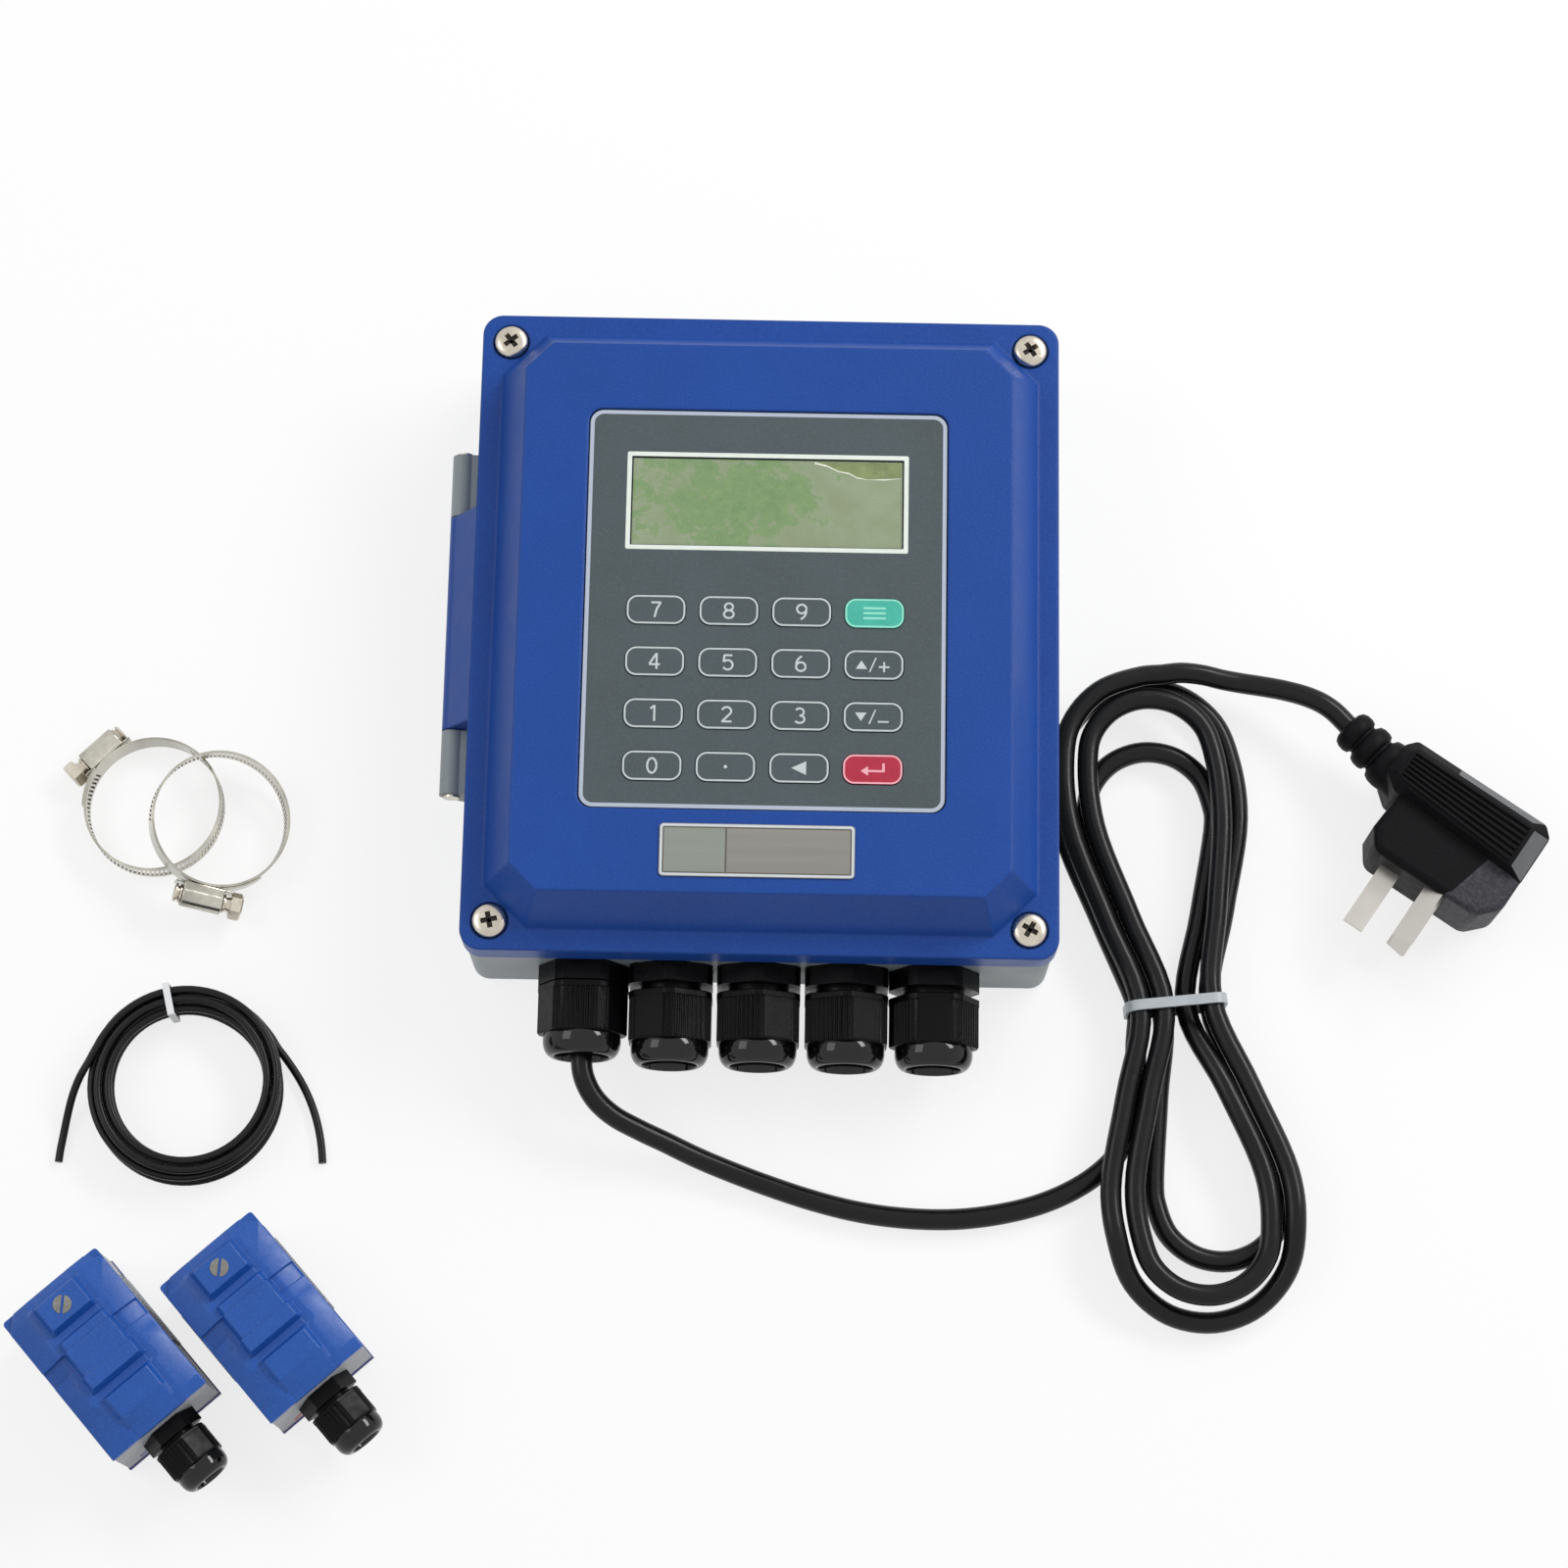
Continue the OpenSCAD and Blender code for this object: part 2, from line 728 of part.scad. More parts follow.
module main_board() {
    color([0.10, 0.42, 0.22]) translate([0, main_board_y, main_board_z]) difference() {
        box(main_board_w, main_board_h, board_t);
        translate([0, 0, -over]) at_corners(main_post_x, main_post_y)
            cylinder(r = small_screw_r + gap, h = board_t + 2 * over);
    }
}

// Pan head screw standing on z = 0, with its thread below
module small_screw(depth) {
    difference() {
        cylinder(r = small_head_r, h = small_head_h);
        translate([0, 0, small_head_h / 2]) box(slot_w, 2 * small_head_r, small_head_h);
    }
    translate([0, 0, -depth]) cylinder(r = small_screw_r, h = depth + sink);
}

module board_screws() {
    color([0.78, 0.76, 0.70]) translate([0, main_board_y, main_board_top])
        at_corners(main_post_x, main_post_y) small_screw(board_t + small_thread - gap);
}

module on_board(shares) {
    for (p = shares)
        translate([p.x * main_board_w, main_board_y + p.y * main_board_h, main_board_top])
            children();
}

module board_components() {
    color([0.13, 0.13, 0.14]) on_board(module_shares)
        box(module_size.x, module_size.y, module_size.z);
    color([0.85, 0.84, 0.80]) on_board(relay_shares)
        box(relay_size.x, relay_size.y, relay_size.z);
    color([0.10, 0.10, 0.10]) on_board(chip_shares)
        box(chip_size.x, chip_size.y, chip_size.z);
    color([0.12, 0.14, 0.30]) on_board(capacitor_shares)
        cylinder(r = capacitor_r, h = capacitor_h);
    color([0.10, 0.10, 0.10]) translate([header_pos.x, header_pos.y, main_board_top])
        box(header_size.x, header_size.y, header_size.z);
}

module terminal_strip() {
    first = -strip_w / 2 + strip_pitch / 2;
    color([0.16, 0.45, 0.24]) translate([0, strip_y, main_board_top]) difference() {
        box(strip_w, strip_d, strip_h);
        for (i = [0:strip_poles - 1]) translate([first + i * strip_pitch, 0, 0]) {
            translate([0, 0, strip_hole_z]) bar(strip_hole_r, strip_d);
            translate([0, 0, strip_h - strip_screw_depth])
                cylinder(r = strip_screw_r, h = strip_screw_depth + over);
        }
    }
}

// Glands

module gland_body() {
    difference() {
        union() {
            translate([0, wall_y, 0]) hex_bar(gland_af, gland_corner_d, gland_flange_t);
            translate([0, wall_y + case_wall + locknut_t + gland_thread_out, 0])
                bar(gland_thread_r, case_wall + locknut_t + gland_thread_out + sink);
            translate([0, gland_flange_y + sink, 0])
                bar(gland_neck_r, gland_neck_len + sink);
        }
        translate([0, wall_y + case_wall + locknut_t + gland_thread_out + over, 0])
            bar(gland_bore_r, case_wall + locknut_t + gland_thread_out + gland_flange_t
                + gland_neck_len + 2 * over);
        translate([0, gland_flange_y - seal_in, 0])
            bar(seal_r + run_gap, gland_neck_len);
    }
}

// Revolved nut end: a dome that closes in to the mouth
module nut_dome(base_r, mouth_r, lip_r, lip_t, t) {
    rotate([90, 0, 0]) rotate_extrude() polygon(concat(
        [[mouth_r, 0], [base_r, 0]],
        [for (i = [1:dome_steps])
            let (a = 90 * i / dome_steps)
            [lip_r + (base_r - lip_r) * cos(a), lip_t + (t - lip_t) * sin(a)]],
        [[mouth_r, t]]
    ));
}

module gland_nut(back_off) {
    translate([0, gland_flange_y - gap / 3 - back_off, 0]) {
        difference() {
            hex_bar(gland_af, gland_corner_d, gland_flute_len);
            translate([0, over, 0]) bar(nut_bore_r, gland_flute_len + 2 * over);
        }
        translate([0, -gland_flute_len, 0])
            nut_dome(gland_af / 2 * dome_share, nut_mouth_r, nut_lip_r, nut_lip_t, gland_dome_len);
    }
}

module gland_seal(bore_r) {
    difference() {
        translate([0, gland_flange_y - seal_in, 0]) bar(seal_r, seal_len);
        translate([0, gland_flange_y - seal_in + over, 0]) bar(bore_r, seal_len + 2 * over);
    }
}

module gland_bodies() {
    color([0.11, 0.11, 0.12]) at_glands() gland_body();
}

module gland_nuts() {
    color([0.12, 0.12, 0.13]) for (i = [0:gland_count - 1])
        translate([gland_xs[i], 0, gland_z])
            rotate([0, i == 0 || i == gland_count - 1 ? 0 : 30, 0])
                gland_nut(i == 0 ? 0 : spare_gap);
}

module gland_seals() {
    color([0.20, 0.20, 0.21]) for (i = [0:gland_count - 1])
        translate([gland_xs[i], 0, gland_z])
            gland_seal(i == 0 ? cord_r + run_gap : seal_bore_r);
}

module gland_locknuts() {
    color([0.11, 0.11, 0.12]) for (x = gland_xs)
        translate([x, wall_y + case_wall + locknut_t, gland_z]) rotate([0, 30, 0])
            difference() {
                hex_bar(gland_af, gland_corner_d, locknut_t);
                translate([0, over, 0]) bar(gland_thread_r + run_gap, locknut_t + 2 * over);
            }
}

// Mains lead

module mains_wires() {
    x = gland_xs[0];
    entry_y = strip_y - strip_d / 2 + sink;
    entry_z = main_board_top + strip_hole_z;
    first = -strip_w / 2 + strip_pitch / 2;
    shades = [[0.45, 0.27, 0.12], [0.10, 0.25, 0.70], [0.35, 0.65, 0.20]];
    color([0.12, 0.12, 0.13]) translate([x, sheath_end_y, gland_z])
        bar(cord_r, sheath_end_y - seal_face_y);
    for (i = [0:2]) {
        from = [x + (i - 1) * 2 * wire_r, sheath_end_y, gland_z];
        to = [first + i * strip_pitch, entry_y, entry_z];
        way = to.y - from.y;
        color(shades[i]) tube([
            from, from + [0, way / 4, 0], [for (k = [0:2]) (from[k] + to[k]) / 2],
            to - [0, way / 4, 0], to
        ], wire_r * 9 / 10, wire_sides);
    }
}

// Point of a half loop of the hank, at a step along it
function half_point(h, k) =
    let (
        run = h[5] - h[3],
        side = h[0] < 0 ? -1 : 1,
        on_arc = k >= run_steps && k <= run_steps + arc_steps,
        back = k > run_steps + arc_steps,
        j = back ? half_steps - k : k,
        spread = h[2] > 0 ? upper_spread : lower_spread,
        share = min(1, j / (run_steps - 1)),
        a = 180 * (k - run_steps) / arc_steps,
        edge = h[4] + (back ? -side : side) * h[3],
        col = (back ? h[1] : h[0]) * strand_step,
        u = on_arc ? h[4] + side * h[3] * cos(a) : col + (edge - col) * share,
        v = on_arc ? run + h[3] * sin(a) : spread * share,
        climb = h[6] + (h[7] - h[6]) * (back || on_arc ? 1 : min(1, k)),
        dip = h[8] * ease(clamp01((v - run) / h[3]))
    )
    [u, h[2] * v, hank_z + (climb - dip) * layer_h];

// Point given across, along and above the hank, in the object's frame
function hank_place(p) = [
    waist.x + p.x * cos(hank_tilt) - p.y * sin(hank_tilt),
    waist.y + p.x * sin(hank_tilt) + p.y * cos(hank_tilt),
    p.z
];

hank_start = [hank_start_lean, hank_start_back, 0];
hank_end = [cord_d, 0, 0];
last_half = half_loops[len(half_loops) - 1];
hank_first = half_point(half_loops[0], 0);
hank_top = half_point(last_half, run_steps + arc_steps / 2);
hank_points = [for (p = concat(
    [hank_first - hank_start],
    [for (i = [0:len(half_loops) - 2], k = [0:half_steps - 1]) half_point(half_loops[i], k)],
    [for (k = [0:run_steps + arc_steps / 2]) half_point(last_half, k)],
    [hank_top + hank_end]
)) hank_place(p)];

// Least distance between points of a route that are not near each other
function between(a, b, t) = a + (b - a) * t;
function refine(pts, n) = concat(
    [for (i = [0:len(pts) - 2], k = [0:n - 1]) between(pts[i], pts[i + 1], k / n)],
    [pts[len(pts) - 1]]
);
function least(pts, far) = min([for (i = [0:len(pts) - 1 - far])
    min([for (j = [i + far:len(pts) - 1]) norm(pts[i] - pts[j])])]);
function route_len(pts) = len(pts) < 2 ? 0
    : [for (p = pts) 1] * [for (i = [0:len(pts) - 1]) i == 0 ? 0 : norm(pts[i] - pts[i - 1])];

lead_points = concat(lead_route, [hank_place(hank_first - 3 * hank_start), hank_points[0]]);
tail_points = concat(
    [hank_points[len(hank_points) - 1], hank_place(hank_top + 2 * hank_end)],
    tail_route,
    [boot_start - cord_d * boot_dir, boot_start]
);

module mains_lead() {
    color([0.12, 0.12, 0.13]) tube(lead_points, cord_r, cord_sides);
}

module mains_hank() {
    echo(hank_gap = least(refine(hank_points, measure_steps), run_steps * measure_steps) - cord_d);
    echo(lead_length = route_len(lead_points), hank_length = route_len(hank_points),
        tail_length = route_len(tail_points));
    color([0.12, 0.12, 0.13]) tube(hank_points, cord_r, hank_sides);
}

module mains_tail() {
    color([0.12, 0.12, 0.13]) tube(tail_points, cord_r, cord_sides);
}

module hank_tie() {
    half_w = 1.5 * strand_step + cord_r + tie_gap;
    top_h = layer_h + cord_d + tie_gap;
    color([0.67, 0.70, 0.72]) translate([waist.x, waist.y, 0]) rotate([90, 0, hank_tilt])
        linear_extrude(tie_w, center = true) difference() {
            translate([0, tie_t + top_h / 2])
                rounded(2 * (half_w + tie_t), top_h + 2 * tie_t, cord_r + tie_t);
            translate([0, tie_t + top_h / 2]) rounded(2 * half_w, top_h, cord_r);
        }
}

// Plug

module at_plug() {
    translate([plug_pos.x, plug_pos.y, 0]) rotate([0, 0, plug_turn]) children();
}

module boot() {
    rotate([0, 90, 0]) {
        cylinder(r1 = boot_r0, r2 = boot_r1, h = boot_len + boot_pos);
        for (i = [0:boot_rings - 1])
            translate([0, 0, i * (boot_len - boot_ring_t) / boot_rings])
                cylinder(r = boot_r0 + boot_ring_h
                    + i * (boot_r1 - boot_r0) / boot_rings, h = boot_ring_t);
    }
}

module plug_body() {
    block = [
        [plug_neck, 0], [plug_len - plug_chamfer, 0], [plug_len, -plug_chamfer],
        [plug_len, plug_chamfer - plug_face], [plug_len - plug_chamfer, -plug_face],
        [plug_neck + plug_step, -plug_face]
    ];
    grip = [
        [0, plug_step - grip_front], [0, plug_back - grip_chamfer], [grip_chamfer, plug_back],
        [plug_len - plug_chamfer, plug_back], [plug_len, plug_back - plug_chamfer],
        [plug_len, -grip_front], [plug_step, -grip_front]
    ];
    color([0.13, 0.13, 0.14]) difference() {
        union() {
            at_plug() {
                linear_extrude(plug_t) polygon(block);
                translate([0, 0, plug_z - plug_grip_t / 2])
                    linear_extrude(plug_grip_t) polygon(grip);
            }
            at_plug() translate([boot_pos, 0, plug_z]) rotate([0, 0, boot_turn])
                translate([-boot_len - boot_pos, 0, 0]) boot();
        }
        at_plug() blades(run_gap);
    }
}

// Three flat blades, earth nearest the cable
module blades(grow) {
    w = blade_w + 2 * grow;
    t = blade_t + 2 * grow;
    translate([earth_c, blade_in - plug_face, plug_z]) rotate([90, 0, 0])
        linear_extrude(earth_len + blade_in) square([w, t], center = true);
    for (s = [-1, 1])
        translate([live_c, blade_in - plug_face, plug_z + s * blade_gap / 2])
            rotate([90, 0, 0]) linear_extrude(blade_len + blade_in)
                rotate(90 + s * blade_turn) square([t, w], center = true);
}

module plug_pins() {
    color([0.80, 0.79, 0.76]) at_plug() blades(0);
}

// Cover

module barrel_2d() {
    edge = -cover_w / 2;
    translate([hinge_x, hinge_z]) circle(knuckle_r);
    polygon([
        [edge, joint_z], [edge + sink, joint_z], [edge + sink, rim_z - sink],
        [edge, rim_z - sink], [hinge_x - knuckle_r * 9 / 10, hinge_z + knuckle_r / 3],
        [hinge_x, hinge_z], [hinge_x + knuckle_r * 9 / 10, hinge_z]
    ]);
}

module front_cover() {
    color([0.19, 0.34, 0.65]) difference() {
        union() {
            translate([0, 0, joint_z]) slab(cover_w, cover_h, cover_corner_r, rim_t);
            translate([0, 0, rim_z]) bevelled(front_x, front_y, slope_run, corner_cut, front_h);
            translate([0, barrel_y1, 0]) rotate([90, 0, 0]) linear_extrude(barrel_len) barrel_2d();
        }
        difference() {
            union() {
                translate([0, 0, joint_z - over])
                    octagon_block(inner_x, inner_y, corner_cut, rim_t + over + sink / 10);
                translate([0, 0, rim_z])
                    bevelled(inner_x, inner_y, inner_run, corner_cut, inner_z - rim_z);
            }
            translate([0, panel_y, display_board_z + board_t])
                at_corners(display_post_x, display_post_y)
                    cylinder(r = post_r, h = front_z - display_board_z);
        }
        translate([0, panel_y, panel_z])
            slab(panel_w + 2 * panel_edge_gap, panel_h + 2 * panel_edge_gap, panel_r, panel_recess + over);
        translate([0, panel_y + lcd_y, inner_z - over])
            box(lcd_w + 4 * lcd_gap, lcd_h + 4 * lcd_gap, cover_wall + 2 * over);
        translate([0, panel_y, display_board_z + board_t - over])
            at_corners(display_post_x, display_post_y)
                cylinder(r = small_screw_r + run_gap, h = small_thread + over);
        at_corners(screw_x, screw_y) {
            translate([0, 0, joint_z - over]) cylinder(r = screw_r + run_gap, h = rim_t + 2 * over);
            translate([0, 0, rim_z - screw_sink_depth])
                cylinder(r = screw_sink_r, h = screw_sink_depth + over);
        }
        gasket_ring(groove_gap, gasket_h + over);
        hinge_bore();
    }
}

// Rectangular ring over the middle of the case's wall
module gasket_ring(grow, t) {
    out_w = cover_w - 2 * (gasket_in - grow);
    out_h = cover_h - 2 * (gasket_in - grow);
    r = cover_corner_r - gasket_in + grow;
    strip = gasket_w + 2 * grow;
    translate([0, 0, joint_z - (t - gasket_h)]) difference() {
        slab(out_w, out_h, r, t);
        translate([0, 0, -over])
            slab(out_w - 2 * strip, out_h - 2 * strip, r - strip, t + 2 * over);
    }
}

module case_gasket() {
    color([0.10, 0.10, 0.11]) gasket_ring(0, gasket_h);
}

module cover_screws() {
    head_z = rim_z - screw_sink_depth;
    color([0.80, 0.78, 0.74]) at_corners(screw_x, screw_y) difference() {
        union() {
            translate([0, 0, joint_z - screw_grip])
                cylinder(r = screw_r, h = head_z - joint_z + screw_grip + sink);
            translate([0, 0, head_z]) cylinder(r = screw_head_r, h = screw_head_h / 2);
            translate([0, 0, head_z + screw_head_h / 2])
                cylinder(r1 = screw_head_r, r2 = screw_head_r * 3 / 4, h = screw_head_h / 2);
        }
        for (a = [0, 90]) rotate([0, 0, a])
            translate([0, 0, head_z + screw_head_h - cross_depth])
                box(cross_len, cross_w, cross_depth + over);
    }
}

function key_x(i) = (i % key_cols - (key_cols - 1) / 2) * key_pitch_x;
function key_y(i) = key_row_y - floor(i / key_cols) * key_pitch_y;

module keypad_overlay() {
    color([0.36, 0.39, 0.41]) difference() {
        translate([0, panel_y, panel_z]) slab(panel_w, panel_h, panel_r, panel_t);
        translate([0, panel_y + lcd_y, panel_z - over])
            box(lcd_w + 2 * lcd_gap, lcd_h + 2 * lcd_gap, panel_t + 2 * over);
        for (i = [0:len(key_names) - 1]) translate([key_x(i), key_y(i), panel_z - over])
            slab(key_w + 2 * key_gap, key_h + 2 * key_gap, key_r + key_gap, panel_t + 2 * over);
    }
}

module key(i) {
    shade = key_names[i] == "key_menu" ? [0.20, 0.66, 0.53]
        : key_names[i] == "key_enter" ? [0.80, 0.20, 0.32] : [0.34, 0.37, 0.39];
    color(shade) translate([key_x(i), key_y(i), panel_z + key_lift])
        slab(key_w, key_h, key_r, key_t);
}

module lcd_glass() {
    color([0.58, 0.66, 0.50]) translate([0, panel_y + lcd_y, display_board_z + board_t])
        box(lcd_w, lcd_h, lcd_z - display_board_z - board_t);
}

module lcd_bezel() {
    z = display_board_z + board_t;
    color([0.60, 0.60, 0.62]) translate([0, panel_y + lcd_y, z]) difference() {
        box(lcd_frame_w, lcd_frame_h, inner_z - gap - z);
        translate([0, 0, -over]) box(lcd_w + 2 * lcd_gap, lcd_h + 2 * lcd_gap, inner_z - z + over);
    }
}

module display_board() {
    color([0.10, 0.42, 0.22]) {
        translate([0, panel_y, display_board_z]) difference() {
            box(display_board_w, display_board_h, board_t);
            translate([0, 0, -over]) at_corners(display_post_x, display_post_y)
                cylinder(r = small_screw_r + gap, h = board_t + 2 * over);
        }
        translate([display_header_x, header_pos.y, display_board_z - display_header_size.z])
            box(display_header_size.x, display_header_size.y, display_header_size.z + sink);
    }
}

module display_board_screws() {
    color([0.78, 0.76, 0.70]) translate([0, panel_y, display_board_z])
        at_corners(display_post_x, display_post_y) mirror([0, 0, 1])
            small_screw(board_t + small_thread - gap);
}

module label_plate() {
    color([0.75, 0.71, 0.63]) translate([plate_x, plate_y, front_z])
        slab(plate_w, plate_h, plate_r, plate_t);
}

// Flat cable that runs from one header to the other past the hinge side
module ribbon_cable() {
    low = main_board_top + header_size.z;
    high = display_board_z - display_header_size.z;
    half = ribbon_t / 2;
    color([0.72, 0.72, 0.74]) translate([0, header_pos.y + ribbon_w / 2, 0])
        rotate([90, 0, 0]) linear_extrude(ribbon_w) polygon([
            [header_pos.x + half, low], [header_pos.x + half, ribbon_low_z + half],
            [ribbon_x + half, ribbon_low_z + half], [ribbon_x + half, ribbon_high_z - half],
            [display_header_x + half, ribbon_high_z - half], [display_header_x + half, high],
            [display_header_x - half, high], [display_header_x - half, ribbon_high_z + half],
            [ribbon_x - half, ribbon_high_z + half], [ribbon_x - half, ribbon_low_z - half],
            [header_pos.x - half, ribbon_low_z - half], [header_pos.x - half, low]
        ]);
}

// Transducers

module at_sensor(i) {
    translate([sensor_pos[i].x, sensor_pos[i].y, 0]) rotate([0, 0, sensor_turn]) children();
}

sensor_top = sensor_base_t + sensor_body_h;
sensor_cap_z = sensor_top + sensor_cover_t + sensor_tier_h + sensor_step_h;

module transducer_base(i) {
    color([0.12, 0.16, 0.55]) at_sensor(i) box(sensor_l, sensor_w, sensor_base_t);
}

module transducer_body(i) {
    l = sensor_l - 2 * sensor_play;
    w = sensor_w - 2 * sensor_play;
    color([0.66, 0.68, 0.70]) at_sensor(i) difference() {
        union() {
            translate([0, 0, sensor_base_t]) box(l, w, sensor_body_h);
            translate([pad_x, 0, sensor_base_t + (sensor_body_h - pad_h) / 2])
                box(pad_l, w + 2 * pad_t, pad_h);
        }
        translate([l / 2 + over, 0, sensor_gland_z]) rotate([0, -90, 0])
            cylinder(r = sensor_thread_r + hole_gap, h = sensor_thread_len + sensor_play + over);
        translate([cap_screw_x, 0, sensor_top - cap_depth])
            cylinder(r = cap_screw_r + run_gap, h = cap_depth + over);
    }
}

module transducer_cover(i) {
    color([0.16, 0.38, 0.80]) at_sensor(i) difference() {
        union() {
            translate([0, 0, sensor_top]) box(sensor_l, sensor_w, sensor_cover_t);
            translate([0, 0, sensor_top + sensor_cover_t])
                bevelled(sensor_l / 2, sensor_w / 2, sensor_bevel, 2 * sensor_bevel, sensor_tier_h);
            for (r = sensor_rib_shares)
                translate([(r[0] + r[1]) / 2 * sensor_l, 0,
                    sensor_top + sensor_cover_t + sensor_tier_h - sink])
                    bevelled((r[1] - r[0]) / 2 * sensor_l, sensor_rib_w / 2, sensor_rib_bevel,
                        2 * sensor_rib_bevel, sensor_step_h + sink
                        + (r == sensor_rib_shares[0] ? sensor_rib_high : 0));
        }
        translate([cap_screw_x, 0, sensor_top - over])
            cylinder(r = cap_screw_r + run_gap, h = sensor_cap_z - sensor_top + 2 * over);
        translate([cap_screw_x, 0, sensor_cap_z - cap_head_t])
            cylinder(r = cap_head_r + gap / 2, h = cap_head_t + sensor_rib_high + over);
    }
}

module transducer_screws() {
    color([0.80, 0.79, 0.76]) for (i = [0, 1]) at_sensor(i) translate([cap_screw_x, 0, 0]) {
        translate([0, 0, sensor_top - cap_depth + gap])
            cylinder(r = cap_screw_r, h = sensor_cap_z - cap_head_t - sensor_top + cap_depth);
        translate([0, 0, sensor_cap_z - cap_head_t]) difference() {
            cylinder(r = cap_head_r, h = cap_head_t + sink);
            translate([0, 0, cap_head_t + sink - slot_depth])
                rotate([0, 0, 45]) box(slot_w, 2 * cap_head_r + over, slot_depth + over);
        }
    }
}

// Puts a part that points along -Y on the transducer's front end
module at_sensor_gland(i) {
    at_sensor(i) translate([sensor_l / 2 - sensor_play, 0, sensor_gland_z])
        rotate([0, 0, 90]) children();
}

module transducer_gland_bodies() {
    bore_len = sensor_thread_len + sensor_flange_t + sensor_neck_len;
    color([0.11, 0.11, 0.12]) for (i = [0, 1]) at_sensor_gland(i) difference() {
        union() {
            hex_bar(sensor_gland_af, sensor_nut_d, sensor_flange_t);
            translate([0, sensor_thread_len - gap, 0])
                bar(sensor_thread_r, sensor_thread_len - gap + sink);
            translate([0, sink - sensor_flange_t, 0])
                bar(sensor_neck_r, sensor_neck_len + sink);
        }
        translate([0, sensor_thread_len + over, 0]) bar(sensor_bore_r, bore_len + 2 * over);
    }
}

module transducer_gland_nuts() {
    color([0.12, 0.12, 0.13]) for (i = [0, 1])
        at_sensor_gland(i) translate([0, -sensor_flange_t - sensor_nut_gap, 0]) {
            difference() {
                hex_bar(sensor_nut_af, sensor_nut_d, sensor_flute_len);
                translate([0, over, 0]) bar(sensor_neck_r + gap / 2, sensor_flute_len + 2 * over);
            }
            translate([0, -sensor_flute_len, 0])
                nut_dome(sensor_nut_af / 2 * dome_share, sensor_mouth_r, sensor_lip_r,
                    nut_lip_t, sensor_dome_len);
        }
}

// Signal cable

// Share of the way out: 0 at the outermost turn, 1 at the innermost
function coil_in(t) =
    let (s = t / turns_in_layer, f = s - 2 * floor(s / 2)) f < 1 ? f : 2 - f;

// Layer at a number of turns: climbs in the half turn about each reversal
function coil_layer(t) = [for (k = [1:coil_layers - 1]) 1]
    * [for (k = [1:coil_layers - 1]) ease(clamp01((t - k * turns_in_layer) * 2 + 1 / 2))];
function coil_point(t) =
    let (r = coil_r - coil_in(t) * turns_in_layer * coil_step, a = coil_start + 360 * t)
    [coil_pos.x + r * cos(a), coil_pos.y + r * sin(a),
        coil_lift + signal_r + coil_layer(t) * coil_layer_h];

coil_path = [for (k = [0:coil_count]) coil_point(k / coil_rings)];
coil_from_a = coil_start;
coil_to_a = coil_start + 360 * coil_count / coil_rings;
coil_from = coil_path[0] + signal_d * [sin(coil_from_a), -cos(coil_from_a), 0];
coil_to = coil_path[coil_count] + signal_d * [-sin(coil_to_a), cos(coil_to_a), 0];
coil_points = concat([coil_from], coil_path, [coil_to]);

module signal_coil() {
    echo(coil_gap = least(refine(coil_points, 2), coil_rings) - signal_d);
    echo(coil_length = route_len(coil_points), ends_length = route_len(right_end) + route_len(left_end));
    color([0.10, 0.10, 0.11]) tube(coil_points, signal_r, coil_sides);
}

module signal_cable_ends() {
    color([0.10, 0.10, 0.11]) {
        tube(concat([coil_from, 2 * coil_from - coil_path[0]], right_end), signal_r, wire_sides);
        tube(concat([coil_to, 2 * coil_to - coil_path[coil_count]], left_end), signal_r, wire_sides);
    }
}

module signal_tie() {
    in_r = coil_r - turns_in_layer * coil_step - signal_r - signal_tie_gap;
    out_r = coil_r + signal_r + signal_tie_gap;
    h = coil_lift + (coil_layers - 1) * coil_layer_h + signal_d + signal_tie_gap;
    color([0.90, 0.91, 0.92]) translate([coil_pos.x, coil_pos.y, 0])
        rotate([0, 0, signal_tie_turn]) translate([(in_r + out_r) / 2, 0, 0]) rotate([90, 0, 0])
            linear_extrude(signal_tie_w, center = true) difference() {
                translate([0, (h + signal_tie_t) / 2])
                    square([out_r - in_r + 2 * signal_tie_t, h + signal_tie_t], center = true);
                translate([0, (h + signal_tie_t) / 2])
                    square([out_r - in_r, h - signal_tie_t], center = true);
            }
}

// Band clamps

module at_clamp(i) {
    lift = i == 0 ? 0 : clamp_out_r * sin(clamp_tilt);
    translate([clamp_pos[i].x, clamp_pos[i].y, lift])
        rotate([0, 0, i == 0 ? 0 : clamp_lean]) rotate([0, i == 0 ? 0 : -clamp_tilt, 0]) children();
}

// Puts a housing's middle at the origin, with the screw along Y
module at_housing(i) {
    at_clamp(i) rotate([0, 0, housing_turns[i]])
        translate([clamp_out_r + housing_t / 2, 0, band_w / 2]) children();
}

module clamp_bands() {
    color([0.74, 0.73, 0.69]) for (i = [0, 1]) at_clamp(i) {
        difference() {
            cylinder(r = clamp_out_r, h = band_w);
            translate([0, 0, -over]) cylinder(r = clamp_r, h = band_w + 2 * over);
        }
    }
}

module clamp_housings() {
    color([0.80, 0.79, 0.76]) for (i = [0, 1]) difference() {
        at_housing(i) translate([0, 0, -housing_w / 2 + (housing_w - band_w) / 2])
            box(housing_t, housing_l, band_w);
        at_housing(i) translate([0, housing_l, 0]) bar(worm_r + run_gap, 2 * housing_l);
        at_clamp(i) translate([0, 0, -housing_w]) cylinder(r = clamp_out_r + run_gap, h = 4 * housing_w);
    }
}

